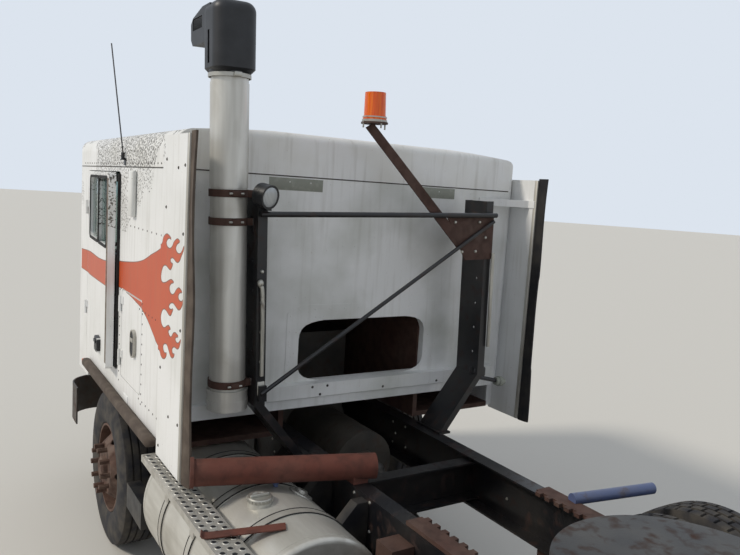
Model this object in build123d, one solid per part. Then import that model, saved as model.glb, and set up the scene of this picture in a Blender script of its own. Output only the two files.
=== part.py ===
"""Cab-over semi truck tractor with an integral sleeper, three axles and a rear work rack.

Millimetres, +Z up. The truck faces -Y and its left side is +X. While modelling, Y = 0 is the
front axle; every piece moves by -Y_MID as it is written, so that the origin ends up on the
ground at the middle of the whole vehicle.
"""
from build123d import *
import os

os.makedirs("parts", exist_ok=True)

# Stance: tyres, rims and axle places
TYRE_R = 508.0
TYRE_W = 270.0
RIM_R = 290.0
RIM_WALL = 14.0
RIM_W = 236.0
FRONT_TYRE_X = 1015.0
DUAL_OUTER_X = 1085.0
DUAL_INNER_X = 750.0
DRIVE_Y = 2900.0
TANDEM = 1320.0
LUG_CIRCLE_R = 142.9
LUG_COUNT = 10

# Frame rails, channels with their flanges turned inwards
RAIL_TOP = 1050.0
RAIL_H = 267.0
RAIL_HALF = 432.0
RAIL_FLANGE = 89.0
RAIL_T = 10.0
RAIL_FRONT_Y = -1160.0
RAIL_REAR_Y = 4700.0

# Cab: outside faces and the wall that the doors share
CAB_HALF = 1120.0
CAB_FRONT_Y = -1270.0
CAB_REAR_Y = 1270.0
CAB_FLOOR_Z = 1050.0
CAB_SEAM_Z = 2500.0
CAB_NOSE_Z = 930.0
CAB_WALL = 45.0
CAB_FRONT_R = 140.0
CAB_REAR_R = 60.0
FLOOR_T = 30.0
TUNNEL_HALF = 450.0
TUNNEL_TOP = 1720.0
PILLAR_Y = -1120.0
ROOF_CROWN_Z = 2745.0
ROOF_EDGE_Z = 2700.0
ROOF_EDGE_R = 100.0
ROOF_WALL = 40.0

# Cab tilt hinge
TILT_Y = -1200.0
TILT_Z = 860.0
TILT_PIN_R = 22.0
PIN_GAP = 0.5

# Doors and openings in the cab walls
DOOR_GAP = 6.0
DOOR_Y0 = -860.0
DOOR_Y1 = 150.0
DOOR_Z0 = 1215.0
DOOR_Z1 = 2465.0
DOOR_AJAR = 4.0
WINDOW_Y0 = -740.0
WINDOW_Y1 = 95.0
WINDOW_Z0 = 2000.0
WINDOW_Z1 = 2425.0
DIVIDER_Y = -290.0
DIVIDER_W = 26.0
DOOR_PULL_Y = -155.0
DOOR_PULL_Z = 1320.0
GLASS_T = 8.0
LUGGAGE_Y0 = 252.0
LUGGAGE_Y1 = 720.0
LUGGAGE_Z0 = 1205.0
LUGGAGE_Z1 = 1748.0
LATCH_Y = 580.0
LATCH_Z = 1477.0
SCREEN_HALF = 985.0
SCREEN_POST = 50.0
SCREEN_Z0 = 1840.0
SCREEN_Z1 = 2400.0
GRILLE_HALF = 520.0
GRILLE_Z0 = 1010.0
GRILLE_Z1 = 1650.0
OPENING_X = -30.0
OPENING_HALF = 430.0
OPENING_Z0 = 1365.0
OPENING_Z1 = 1710.0
OPENING_R = 100.0
BEAM_Z0 = 1225.0
BEAM_DEPTH = 50.0
LEDGE_X0 = 600.0
LEDGE_X1 = 1040.0
LEDGE_Z = 1300.0
LEDGE_T = 16.0

# Side extenders behind the cab
EXTENDER_Y0 = 1180.0
EXTENDER_Z0 = 1030.0
EXTENDER_T = 30.0
LEFT_EXTENDER_Y1 = 1590.0
LEFT_EXTENDER_Z1 = 2655.0
LEFT_STAY_REACH = 110.0
RIGHT_EXTENDER_Y1 = 1470.0
RIGHT_EXTENDER_Z1 = 2580.0
RIGHT_STAY_REACH = 300.0
FLAP_W = 75.0
FLAP_T = 14.0
STAY_H = 45.0
STAY_T = 6.0
STAY_Z = 2405.0

# Rubber flare along the cab's lower edge
FLARE_Y0 = -735.0
FLARE_Y1 = 1100.0
FLARE_Z0 = 1022.0
FLARE_Z1 = 1082.0
FLARE_W = 60.0

# Bumper
BUMPER_FRONT_Y = -1340.0
BUMPER_HALF = 1170.0
BUMPER_Z0 = 500.0
BUMPER_Z1 = 790.0
BUMPER_T = 10.0
BUMPER_END_Y = -960.0
BUMPER_R = 220.0

# Fuel tank and its deck, on the left only
TANK_R = 350.0
TANK_X = 815.0
TANK_Z = 690.0
TANK_Y0 = 1010.0
TANK_Y1 = 2370.0
TANK_END_R = 22.0
STRAP_T = 5.0
STRAP_W = 55.0
STRAP_Y = (1360.0, 1760.0, 2100.0)
DECK_Y0 = 1100.0
DECK_Y1 = 2320.0
DECK_TOP = 1000.0
DECK_X0 = 1065.0
DECK_X1 = 1200.0
DECK_LIP = 35.0
DECK_T = 4.0

# Rack and what it carries. The whole rack leans to the left on the rails.
RACK_LEAN = 1.8
POST_DEPTH = 200.0
POST_FLANGE = 50.0
POST_T = 8.0
POST_Y1 = 1560.0
LEFT_POST_X = 757.0
LEFT_FOOT_X = 470.0
RIGHT_POST_X = -679.0
RIGHT_FOOT_X = -368.0
POST_TOP_Z = 2411.0
POST_BEND_Z = 1370.0
PIPE_Z = 2330.0
PIPE_R = 14.0
STACK_R = 89.0
STACK_X = 860.0
STACK_Y = 1440.0
STACK_Z0 = 1350.0
STACK_Z1 = 3000.0
STACK_SLEEVE_Z = 2450.0
COLLAR_R = STACK_X - LEFT_POST_X - 2.0
COLLAR_H = 103.0
HOOD_H = 305.0
BEACON_X = 122.0
BEACON_Z = 2797.0

# Fifth wheel
FIFTH_Y = 3450.0
FIFTH_Z = 1165.0
FIFTH_HALF = 460.0
FIFTH_T = 34.0
KINGPIN_SLOT_R = 26.0

BIG = 4000.0
SEAT = 0.3
Y_FRONT = BUMPER_FRONT_Y
Y_REAR = DRIVE_Y + TANDEM + TYRE_R
Y_MID = (Y_FRONT + Y_REAR) / 2


def box(x0, x1, y0, y1, z0, z1):
    """Block between two corners."""
    return Pos((x0 + x1) / 2, (y0 + y1) / 2, (z0 + z1) / 2) * Box(x1 - x0, y1 - y0, z1 - z0)


def rod_x(radius, x0, x1, y, z):
    """Round bar along X."""
    return Pos((x0 + x1) / 2, y, z) * Rot(0, 90, 0) * Cylinder(radius, x1 - x0)


def rod_y(radius, y0, y1, x, z):
    """Round bar along Y."""
    return Pos(x, (y0 + y1) / 2, z) * Rot(90, 0, 0) * Cylinder(radius, y1 - y0)


def rod_z(radius, z0, z1, x, y):
    """Round bar along Z."""
    return Pos(x, y, (z0 + z1) / 2) * Cylinder(radius, z1 - z0)


def plate_xz(points, y0, y1):
    """Outline seen from the front, extruded from y0 to y1."""
    face = Plane.XZ * make_face(Polyline(*points, close=True))
    return Pos(0, y0, 0) * extrude(face, amount=y1 - y0, dir=(0, 1, 0))


def plate_yz(points, x0, x1):
    """Outline seen from the side, extruded from x0 to x1."""
    face = Plane.YZ * make_face(Polyline(*points, close=True))
    return Pos(x0, 0, 0) * extrude(face, amount=x1 - x0, dir=(1, 0, 0))


def turned_x(points, x):
    """Outline of (offset, radius) turned about an X line through the origin, moved to x."""
    return Pos(x, 0, 0) * revolve(make_face(Polyline(*points, close=True)), Axis.X)


def bar(start, end, radius):
    """Round bar between two points."""
    line = Line(start, end)
    return sweep(Plane(origin=start, z_dir=line % 0) * Circle(radius), path=line)


def flip(shape):
    """The same piece on the right side."""
    return mirror(shape, about=Plane.YZ)


def write(name, *shapes):
    """Move to the written frame and export one node."""
    moved = [Pos(0, -Y_MID, 0) * shape for shape in shapes]
    solids = [solid for shape in moved for solid in shape.solids()]
    node = solids[0] if len(solids) == 1 else Compound(solids)
    node.label = name
    export_step(node, f"parts/{name}.step")


def write_pair(name, shape):
    """Export a left piece and its mirror image."""
    write(f"{name}_left", shape)
    write(f"{name}_right", flip(shape))


# Wheels. A tyre's outline has its bead on the rim, its widest point and its flat tread.
TYRE_OUTLINE = (
    (-RIM_W / 2 + 8, RIM_R + SEAT),
    (-TYRE_W / 2, RIM_R + 100),
    (-TYRE_W / 2 + 18, TYRE_R - 28),
    (-TYRE_W / 2 + 42, TYRE_R),
    (TYRE_W / 2 - 42, TYRE_R),
    (TYRE_W / 2 - 18, TYRE_R - 28),
    (TYRE_W / 2, RIM_R + 100),
    (RIM_W / 2 - 8, RIM_R + SEAT),
)
DISC_T = 12.0
HUB_R = 108.0
HUB_BORE_R = 45.0
DRUM_R = 206.0
DRUM_T = 16.0
LUG_R = 17.0
LUG_LEN = 62.0
HAND_HOLE_R = 30.0
HAND_HOLES = 5
HAND_HOLE_CIRCLE_R = 215.0


def tyre(x):
    return turned_x(TYRE_OUTLINE, x)


def barrel(x):
    """The rim's band under the tyre's beads."""
    half = RIM_W / 2
    inner = RIM_R - RIM_WALL
    return turned_x(((-half, inner), (-half, RIM_R), (half, RIM_R), (half, inner)), x)


def disc(face_x, barrel_x, hub_r):
    """Dished disc from a flat bolting face out to the rim's band."""
    rim = RIM_R - RIM_WALL
    dish = (
        (face_x - DISC_T, hub_r),
        (face_x - DISC_T, LUG_CIRCLE_R + 30),
        (barrel_x - DISC_T / 2, rim - 8),
        (barrel_x - DISC_T / 2, rim + 2),
        (barrel_x + DISC_T / 2, rim + 2),
        (barrel_x + DISC_T / 2, rim - 12),
        (face_x, LUG_CIRCLE_R + 26),
        (face_x, hub_r),
    )
    holes = PolarLocations(HAND_HOLE_CIRCLE_R, HAND_HOLES)
    cutter = Plane.YZ * (Sketch() + [place * Circle(HAND_HOLE_R) for place in holes])
    reach = abs(face_x - barrel_x) + 4 * DISC_T
    start = (face_x + barrel_x) / 2 - reach
    return turned_x(dish, 0) - Pos(start, 0, 0) * extrude(cutter, amount=2 * reach, dir=(1, 0, 0))


def lugs(face_x):
    """Stud nuts on the lug circle, standing out from the bolting face."""
    places = PolarLocations(LUG_CIRCLE_R, LUG_COUNT)
    nuts = Plane.YZ * (Sketch() + [place * RegularPolygon(LUG_R, 6) for place in places])
    return Pos(face_x, 0, 0) * extrude(nuts, amount=LUG_LEN, dir=(1, 0, 0))


def wheel_place(shape, y):
    return Pos(0, y, TYRE_R) * shape


FRONT_FACE_X = 1150.0
FRONT_DRUM_X0 = 915.0
FRONT_DRUM_X1 = 1030.0
SPINDLE_R = HUB_BORE_R - PIN_GAP
SPINDLE_END_X = 1110.0
HUB_CAP_X = 1185.0
DUAL_FACE_X = (DUAL_OUTER_X + DUAL_INNER_X) / 2
REAR_DRUM_X0 = 655.0
REAR_DRUM_X1 = 850.0
REAR_HUB_END_X = 1020.0
REAR_SPINDLE_END_X = 960.0


def drum(x0, x1):
    """Brake drum, open at its inboard end."""
    inner = DRUM_R - DRUM_T
    outline = (
        (x0, inner),
        (x0, DRUM_R),
        (x1, DRUM_R),
        (x1, HUB_BORE_R),
        (x1 - DRUM_T, HUB_BORE_R),
        (x1 - DRUM_T, inner),
    )
    return turned_x(outline, 0)


def hub(x0, x1, spindle_end, cap_x):
    """Hub over the spindle, with its flange inboard of x1 and its closed cap."""
    outline = (
        (x0, HUB_BORE_R),
        (x0, HUB_R - 22),
        (x1 - 40, HUB_R - 22),
        (x1 - 20, LUG_CIRCLE_R + 24),
        (x1, LUG_CIRCLE_R + 24),
        (x1, HUB_R - 25),
        (cap_x - 10, HUB_R - 36),
        (cap_x, HUB_R - 48),
        (cap_x, 0),
        (spindle_end + 6, 0),
        (spindle_end + 6, HUB_BORE_R),
    )
    return turned_x(outline, 0)


def front_wheel():
    face = FRONT_FACE_X
    wheel = barrel(FRONT_TYRE_X) + disc(face, FRONT_TYRE_X + 20, HUB_R - 30)
    wheel += hub(FRONT_DRUM_X1 - 4, face - DISC_T, SPINDLE_END_X, HUB_CAP_X)
    wheel += drum(FRONT_DRUM_X0, FRONT_DRUM_X1)
    return wheel + lugs(face)


def rear_wheel():
    """Two dished rims face to face on one hub and drum."""
    face = DUAL_FACE_X
    outer = Pos(2 * face, 0, 0) * mirror(disc(face, DUAL_INNER_X + 40, HUB_R - 30), about=Plane.YZ)
    wheel = barrel(DUAL_INNER_X) + barrel(DUAL_OUTER_X)
    wheel += disc(face, DUAL_INNER_X + 40, HUB_R - 30) + outer
    wheel += hub(REAR_DRUM_X1 - 4, face - DISC_T, REAR_SPINDLE_END_X, REAR_HUB_END_X)
    wheel += drum(REAR_DRUM_X0, REAR_DRUM_X1)
    return wheel + lugs(face + DISC_T)


write_pair("tyre_front", wheel_place(tyre(FRONT_TYRE_X), 0))
write_pair("wheel_front", wheel_place(front_wheel(), 0))
dual_wheel = rear_wheel()
dual_tyres = Compound([tyre(DUAL_INNER_X), tyre(DUAL_OUTER_X)])
for axle_name, axle_y in (("drive", DRIVE_Y), ("rear", DRIVE_Y + TANDEM)):
    write_pair(f"tyres_{axle_name}", wheel_place(dual_tyres, axle_y))
    write_pair(f"wheels_{axle_name}", wheel_place(dual_wheel, axle_y))

# Front axle: dropped I beam, kingpin yokes, tie rod
KINGPIN_X = 885.0
KINGPIN_R = 20.0
BOSS_R = 45.0
BOSS_H = 130.0
EAR_H = 40.0
EAR_GAP = 5.0
BEAM_DROP = 110.0
AXLE_BEAM_W = 90.0
AXLE_BEAM_H = 95.0
AXLE_BEAM_WEB = 22.0
SPRING_X = 387.0
SPRING_W = 76.0
SPRING_HALF_LEN = 560.0
SPRING_PACK_H = 60.0
ARM_Y = 160.0
ARM_T = 26.0
ARM_EYE_R = 20.0
STUD_R = 10.0
TIE_ROD_R = 19.0
TIE_EYE_R = 26.0
TIE_EYE_H = 48.0
TIE_Z = TYRE_R - BOSS_H / 2 - EAR_GAP - EAR_H - 30.0


def front_axle():
    top = TYRE_R + BOSS_H / 2
    low = TYRE_R - BEAM_DROP
    bend = SPRING_X + SPRING_W
    half = (
        (0, low),
        (bend, low),
        (KINGPIN_X - BOSS_R + 8, TYRE_R - BOSS_H / 2 + 14),
        (KINGPIN_X - BOSS_R + 8, top - 14),
        (bend + 60, low + AXLE_BEAM_H),
        (0, low + AXLE_BEAM_H),
    )
    outline = half + tuple((-x, z) for x, z in reversed(half[1:-1]))
    beam = plate_xz(outline, -AXLE_BEAM_W / 2, AXLE_BEAM_W / 2)
    inner = (
        (-bend - 30, low + 18),
        (bend + 30, low + 18),
        (bend + 30, low + AXLE_BEAM_H - 18),
        (-bend - 30, low + AXLE_BEAM_H - 18),
    )
    beam -= plate_xz(inner, -AXLE_BEAM_W / 2 - 1, -AXLE_BEAM_WEB / 2)
    beam -= plate_xz(inner, AXLE_BEAM_WEB / 2, AXLE_BEAM_W / 2 + 1)
    for side in (-1, 1):
        boss = rod_z(BOSS_R, TYRE_R - BOSS_H / 2, top, side * KINGPIN_X, 0)
        beam += boss
        beam -= rod_z(KINGPIN_R + PIN_GAP, 0, 2 * TYRE_R, side * KINGPIN_X, 0)
    return beam


def knuckle():
    """Yoke over the axle's boss, with its kingpin, spindle, backing plate and steering arm."""
    upper = TYRE_R + BOSS_H / 2 + EAR_GAP
    lower = TYRE_R - BOSS_H / 2 - EAR_GAP
    web_x0 = KINGPIN_X + BOSS_R + EAR_GAP
    web_x1 = FRONT_DRUM_X1 - DRUM_T - 2 * EAR_GAP
    yoke = rod_z(BOSS_R, upper, upper + EAR_H, KINGPIN_X, 0)
    yoke += rod_z(BOSS_R, lower - EAR_H, lower, KINGPIN_X, 0)
    yoke += box(KINGPIN_X, web_x1, -BOSS_R, BOSS_R, upper, upper + EAR_H)
    yoke += box(KINGPIN_X, web_x1, -BOSS_R, BOSS_R, lower - EAR_H, lower)
    yoke += box(web_x0, web_x1, -BOSS_R, BOSS_R, lower - EAR_H, upper + EAR_H)
    yoke += rod_z(KINGPIN_R, lower - EAR_H, upper + EAR_H, KINGPIN_X, 0)
    yoke += rod_x(SPINDLE_R, web_x1 - 1, SPINDLE_END_X, 0, TYRE_R)
    yoke += rod_x(SPINDLE_R + 20, web_x1 - 1, web_x1 + EAR_GAP, 0, TYRE_R)
    arm_z = lower - EAR_H
    yoke += box(KINGPIN_X - ARM_EYE_R, KINGPIN_X + ARM_EYE_R, 0, ARM_Y, arm_z, arm_z + ARM_T)
    yoke += rod_z(ARM_EYE_R, arm_z, arm_z + ARM_T, KINGPIN_X, ARM_Y)
    return yoke + rod_z(STUD_R, TIE_Z - TIE_EYE_H / 2 - 2, arm_z + 1, KINGPIN_X, ARM_Y)


def tie_rod():
    """Rod between the two steering arms, with an eye round each arm's stud."""
    rod = rod_x(TIE_ROD_R, -KINGPIN_X, KINGPIN_X, ARM_Y, TIE_Z)
    for side in (-1, 1):
        rod += rod_z(TIE_EYE_R, TIE_Z - TIE_EYE_H / 2, TIE_Z + TIE_EYE_H / 2, side * KINGPIN_X, ARM_Y)
    for side in (-1, 1):
        rod -= rod_z(STUD_R + PIN_GAP, 0, TYRE_R, side * KINGPIN_X, ARM_Y)
    return rod


write("front_axle", front_axle())
write_pair("knuckle", knuckle())
write("tie_rod", tie_rod())

# Frame: two channel rails joined by channel cross members
CROSS_T = 10.0
CROSS_DROP = 25.0
CROSS_W = 80.0
CROSS_YS = (RAIL_FRONT_Y + 60, 1900.0, DRIVE_Y + TANDEM / 2, RAIL_REAR_Y - 45)


def rail():
    bottom = RAIL_TOP - RAIL_H
    inner = RAIL_HALF - RAIL_FLANGE
    section = (
        (RAIL_HALF, bottom),
        (RAIL_HALF, RAIL_TOP),
        (inner, RAIL_TOP),
        (inner, RAIL_TOP - RAIL_T),
        (RAIL_HALF - RAIL_T, RAIL_TOP - RAIL_T),
        (RAIL_HALF - RAIL_T, bottom + RAIL_T),
        (inner, bottom + RAIL_T),
        (inner, bottom),
    )
    return plate_xz(section, RAIL_FRONT_Y, RAIL_REAR_Y)


def cross_member(y):
    """Channel lying across, open to the rear, with a gusset at each end."""
    reach = RAIL_HALF - RAIL_T + 1
    z0 = RAIL_TOP - RAIL_H + CROSS_DROP
    z1 = RAIL_TOP - CROSS_DROP
    member = box(-reach, reach, y - CROSS_W / 2, y + CROSS_W / 2, z0, z1)
    return member - box(-reach, reach, y - CROSS_W / 2 + CROSS_T, y + CROSS_W, z0 + CROSS_T, z1 - CROSS_T)


frame = rail() + flip(rail())
for cross_y in CROSS_YS:
    frame += cross_member(cross_y)


def tilt_bracket():
    """Plate on the rail's web that carries the cab's hinge pin in front of the rail."""
    outline = (
        (TILT_Y - 45, TILT_Z - 40),
        (TILT_Y - 45, TILT_Z + 40),
        (TILT_Y + 200, RAIL_TOP - 30),
        (TILT_Y + 200, RAIL_TOP - RAIL_H + 20),
        (TILT_Y + 40, RAIL_TOP - RAIL_H + 20),
    )
    plate = plate_yz(outline, RAIL_HALF - 1, RAIL_HALF + 20)
    return plate + rod_x(TILT_PIN_R, RAIL_HALF, RAIL_HALF + 105, TILT_Y, TILT_Z)


frame += tilt_bracket() + flip(tilt_bracket())
write("frame", frame)

# Front springs and rear springs, packs under and outside the rails
LEAVES = 5
REAR_SPRING_X = 500.0
REAR_SPRING_W = 90.0


def front_spring():
    """Tapering stack of leaves on the axle beam, with a hanger at each end."""
    seat_z = TYRE_R - BEAM_DROP + AXLE_BEAM_H + SEAT
    leaf = SPRING_PACK_H / LEAVES
    pack = None
    for step in range(LEAVES):
        length = SPRING_HALF_LEN * (1 - 0.16 * (LEAVES - 1 - step))
        z = seat_z + step * leaf
        piece = box(SPRING_X - SPRING_W / 2, SPRING_X + SPRING_W / 2, -length, length, z, z + leaf)
        pack = piece if pack is None else pack + piece
    top = seat_z + SPRING_PACK_H
    for end in (-SPRING_HALF_LEN, SPRING_HALF_LEN):
        pack += rod_x(28, SPRING_X - SPRING_W / 2, SPRING_X + SPRING_W / 2, end, top - leaf)
        pack += box(SPRING_X - 20, SPRING_X + 20, end - 35, end + 35, top - leaf, RAIL_TOP - RAIL_H - SEAT)
    return pack


REAR_TUBE_R = 75.0
REAR_LEAF_HALF = 430.0
REAR_PACK_H = 84.0
HANGER_W = 60.0


def rear_spring():
    """Leaf pack over each drive axle, held by three hangers on the rail's web."""
    seat_z = TYRE_R + REAR_TUBE_R + SEAT
    leaf = REAR_PACK_H / LEAVES
    x0 = REAR_SPRING_X - REAR_SPRING_W / 2
    x1 = REAR_SPRING_X + REAR_SPRING_W / 2
    packs = None
    for axle in (DRIVE_Y, DRIVE_Y + TANDEM):
        for step in range(LEAVES):
            length = REAR_LEAF_HALF * (1 - 0.14 * (LEAVES - 1 - step))
            z = seat_z + step * leaf
            piece = box(x0, x1, axle - length, axle + length, z, z + leaf)
            packs = piece if packs is None else packs + piece
    top = seat_z + REAR_PACK_H
    reach = REAR_LEAF_HALF + HANGER_W / 2
    for y in (DRIVE_Y - reach, DRIVE_Y + TANDEM / 2, DRIVE_Y + TANDEM + reach):
        half = TANDEM / 2 - REAR_LEAF_HALF if y == DRIVE_Y + TANDEM / 2 else HANGER_W
        outline = (
            (y - half, top - 40),
            (y - half, top + 40),
            (y - 60, RAIL_TOP - 60),
            (y + 60, RAIL_TOP - 60),
            (y + half, top + 40),
            (y + half, top - 40),
        )
        packs += plate_yz(outline, RAIL_HALF + SEAT, x1)
    return packs


write("leaf_springs", front_spring(), flip(front_spring()), rear_spring(), flip(rear_spring()))

# Drive axles: tube, banjo and nose
BANJO_R = 190.0
BANJO_W = 230.0
NOSE_R = 110.0
NOSE_LEN = 330.0
NOSE_Z = TYRE_R + 20


def drive_axle(y):
    axle = rod_x(REAR_TUBE_R, -REAR_DRUM_X0 + 20, REAR_DRUM_X0 - 20, y, TYRE_R)
    axle += rod_x(HUB_BORE_R - PIN_GAP, -REAR_SPINDLE_END_X, REAR_SPINDLE_END_X, y, TYRE_R)
    axle += rod_x(BANJO_R, -BANJO_W / 2, BANJO_W / 2, y, TYRE_R)
    nose = Pos(0, y - NOSE_LEN, NOSE_Z) * Rot(-90, 0, 0) * Pos(0, 0, NOSE_LEN / 2)
    return axle + nose * Cone(NOSE_R * 0.55, NOSE_R * 1.3, NOSE_LEN)


write("rear_axles", drive_axle(DRIVE_Y), drive_axle(DRIVE_Y + TANDEM))

# Engine, radiator and driveline, all under the cab's tunnel and between the rails
ENGINE_Y0 = -760.0
ENGINE_Y1 = 560.0
ENGINE_HALF = 325.0
ENGINE_Z0 = 700.0
ENGINE_Z1 = 1480.0
MOUNT_YS = (-300.0, 300.0)
RADIATOR_HALF = 400.0
RADIATOR_Y0 = -1040.0
RADIATOR_Y1 = -930.0
RADIATOR_Z1 = 1640.0
GEARBOX_Y1 = 1390.0
GEARBOX_Z = 870.0
BELL_R = 260.0
GEARBOX_R = 190.0
GEARBOX_TAIL = 60.0
SHAFT_R = 50.0
JOINT_R = 62.0


def engine():
    block = box(-ENGINE_HALF, ENGINE_HALF, ENGINE_Y0, ENGINE_Y1, ENGINE_Z0, ENGINE_Z1)
    reach = RAIL_HALF - RAIL_T - SEAT
    for y in MOUNT_YS:
        block += box(-reach, reach, y - 60, y + 60, RAIL_TOP - RAIL_H + 70, RAIL_TOP - 70)
    return block


def radiator():
    """Core in a frame that sits on the two rails, with its fan shroud behind it."""
    core = box(-RADIATOR_HALF, RADIATOR_HALF, RADIATOR_Y0, RADIATOR_Y1, RAIL_TOP + SEAT, RADIATOR_Z1)
    shroud_z = (RAIL_TOP + RADIATOR_Z1) / 2
    return core + rod_y(RADIATOR_HALF * 0.68, RADIATOR_Y1 - 1, ENGINE_Y0 - SEAT, 0, shroud_z)


def gearbox():
    box_y = ENGINE_Y1 + SEAT
    bell = rod_y(BELL_R, box_y, box_y + 160, 0, GEARBOX_Z)
    case = rod_y(GEARBOX_R, box_y + 150, GEARBOX_Y1, 0, GEARBOX_Z)
    tail = rod_y(SHAFT_R + 30, GEARBOX_Y1 - 1, GEARBOX_Y1 + GEARBOX_TAIL, 0, GEARBOX_Z)
    return bell + case + tail


def drive_shaft(y0, z0, y1, z1):
    """Tube between two universal joints, each joint just clear of its neighbour's face."""
    start = Vector(0, y0 + JOINT_R + SEAT, z0)
    end = Vector(0, y1 - JOINT_R - SEAT, z1)
    shaft = bar(start, end, SHAFT_R)
    for centre in (start, end):
        shaft += Pos(*centre) * Sphere(JOINT_R)
    return shaft


front_shaft = drive_shaft(GEARBOX_Y1 + GEARBOX_TAIL, GEARBOX_Z, DRIVE_Y - NOSE_LEN, NOSE_Z)
middle_shaft = drive_shaft(DRIVE_Y + BANJO_R, NOSE_Z, DRIVE_Y + TANDEM - NOSE_LEN, NOSE_Z)
write("engine_block", engine())
write("radiator", radiator())
write("driveline", gearbox(), front_shaft, middle_shaft)

# Fifth wheel: slide rails with teeth on the frame, ears, and the tilting plate
SLIDE_Y0 = 2420.0
SLIDE_Y1 = 4250.0
SLIDE_X = 385.0
SLIDE_W = 84.0
SLIDE_T = 18.0
TOOTH_PITCH = 60.0
TOOTH_LEN = 30.0
TOOTH_W = 22.0
EAR_T = 24.0
EAR_X = 330.0
FIFTH_PIN_R = 24.0


def fifth_wheel_base():
    z0 = RAIL_TOP + SEAT
    base = None
    for side in (-1, 1):
        x = side * SLIDE_X
        slide = box(x - SLIDE_W / 2, x + SLIDE_W / 2, SLIDE_Y0, SLIDE_Y1, z0, z0 + SLIDE_T)
        teeth = int((SLIDE_Y1 - SLIDE_Y0) / TOOTH_PITCH)
        for index in range(teeth):
            y = SLIDE_Y0 + TOOTH_PITCH * (index + 0.5)
            inner = side * (SLIDE_X - SLIDE_W / 2)
            tooth_x = sorted((inner, inner - side * TOOTH_W))
            slide += box(*tooth_x, y - TOOTH_LEN / 2, y + TOOTH_LEN / 2, z0, z0 + SLIDE_T)
        base = slide if base is None else base + slide
    top = z0 + SLIDE_T
    base += box(-SLIDE_X - 30, SLIDE_X + 30, FIFTH_Y - 180, FIFTH_Y + 180, top - 4, top + 12)
    ear = (
        (FIFTH_Y - 120, top),
        (FIFTH_Y - 42, FIFTH_Z + 20),
        (FIFTH_Y + 42, FIFTH_Z + 20),
        (FIFTH_Y + 120, top),
    )
    for side in (-1, 1):
        base += plate_yz(ear, side * EAR_X - EAR_T / 2, side * EAR_X + EAR_T / 2)
        base += rod_x(FIFTH_PIN_R, side * EAR_X - 60, side * EAR_X + 60, FIFTH_Y, FIFTH_Z)
    return base


def fifth_wheel_plate():
    """Round-nosed plate with its kingpin throat, ramps and hinge lugs."""
    z0 = FIFTH_Z + 40
    disc_part = rod_z(FIFTH_HALF, z0, z0 + FIFTH_T, 0, FIFTH_Y)
    ramp = (
        (-FIFTH_HALF, FIFTH_Y),
        (FIFTH_HALF, FIFTH_Y),
        (FIFTH_HALF * 0.86, FIFTH_Y + FIFTH_HALF + 40),
        (-FIFTH_HALF * 0.86, FIFTH_Y + FIFTH_HALF + 40),
    )
    plate = disc_part + Pos(0, 0, z0) * extrude(make_face(Polyline(*ramp, close=True)), amount=FIFTH_T)
    throat = (
        (-KINGPIN_SLOT_R, FIFTH_Y),
        (KINGPIN_SLOT_R, FIFTH_Y),
        (KINGPIN_SLOT_R + 10, FIFTH_Y + 200),
        (170, FIFTH_Y + FIFTH_HALF + 60),
        (-170, FIFTH_Y + FIFTH_HALF + 60),
        (-KINGPIN_SLOT_R - 10, FIFTH_Y + 200),
    )
    cut = extrude(make_face(Polyline(*throat, close=True)), amount=3 * FIFTH_T)
    plate -= Pos(0, 0, z0 - FIFTH_T) * cut
    plate -= rod_z(KINGPIN_SLOT_R, z0 - 20, z0 + 2 * FIFTH_T, 0, FIFTH_Y)
    for side in (-1, 1):
        for offset in (-32, 32):
            x = side * EAR_X + offset
            lug = box(x - 12, x + 12, FIFTH_Y - 45, FIFTH_Y + 45, FIFTH_Z - 34, z0 + 2)
            plate += lug - rod_x(FIFTH_PIN_R + PIN_GAP, x - 20, x + 20, FIFTH_Y, FIFTH_Z)
    return plate


write("fifth_wheel_base", fifth_wheel_base())
write("fifth_wheel_plate", fifth_wheel_plate())

# Fuel tank with raised straps and a filler, its cradle arms, and a thin step deck
FILLER_R = 54.0
FILLER_H = 26.0
FILLER_Y = 1941.0
FILLER_X = TANK_X + 77.0
CRADLE_W = 60.0
CRADLE_T = 26.0
GUSSET_X0 = 1080.0
GUSSET_X1 = 1140.0
STEP_Y0 = 600.0
STEP_Y1 = 930.0
STEP_X0 = 1070.0
STEP_X1 = 1150.0
STEP_Z0 = 490.0
STEP_Z1 = 640.0
STEP_T = 6.0


def fuel_tank():
    tank = rod_y(TANK_R, TANK_Y0, TANK_Y1, TANK_X, TANK_Z)
    tank = fillet(tank.edges().filter_by(GeomType.CIRCLE), TANK_END_R)
    for y in STRAP_Y:
        tank += rod_y(TANK_R + STRAP_T, y - STRAP_W / 2, y + STRAP_W / 2, TANK_X, TANK_Z)
    top = TANK_Z + (TANK_R ** 2 - (TANK_X - FILLER_X) ** 2) ** 0.5
    return tank + rod_z(FILLER_R, top - 60, top + FILLER_H, FILLER_X, FILLER_Y)


def strap_seat(y, width):
    """Round cutter just clear of a strap."""
    return rod_y(TANK_R + STRAP_T + SEAT, y - width, y + width, TANK_X, TANK_Z)


def tank_cradle(y):
    """Bent arm from the rail's web under the tank, with its seat for one strap."""
    rail_x = RAIL_HALF + SEAT
    seat_r = TANK_R + STRAP_T
    low = TANK_Z - seat_r - CRADLE_T
    arm = (
        (rail_x, RAIL_TOP - 20),
        (rail_x, TANK_Z - 90),
        (TANK_X - seat_r * 0.8, TANK_Z - seat_r * 0.8),
        (TANK_X - 60, low),
        (TANK_X + 40, low),
        (TANK_X + 40, low + CRADLE_T + 4),
        (TANK_X, TANK_Z),
        (TANK_X - 150, TANK_Z + 150),
        (rail_x + 60, RAIL_TOP - 20),
    )
    return plate_xz(arm, y - CRADLE_W / 2, y + CRADLE_W / 2) - strap_seat(y, CRADLE_W)


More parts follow.
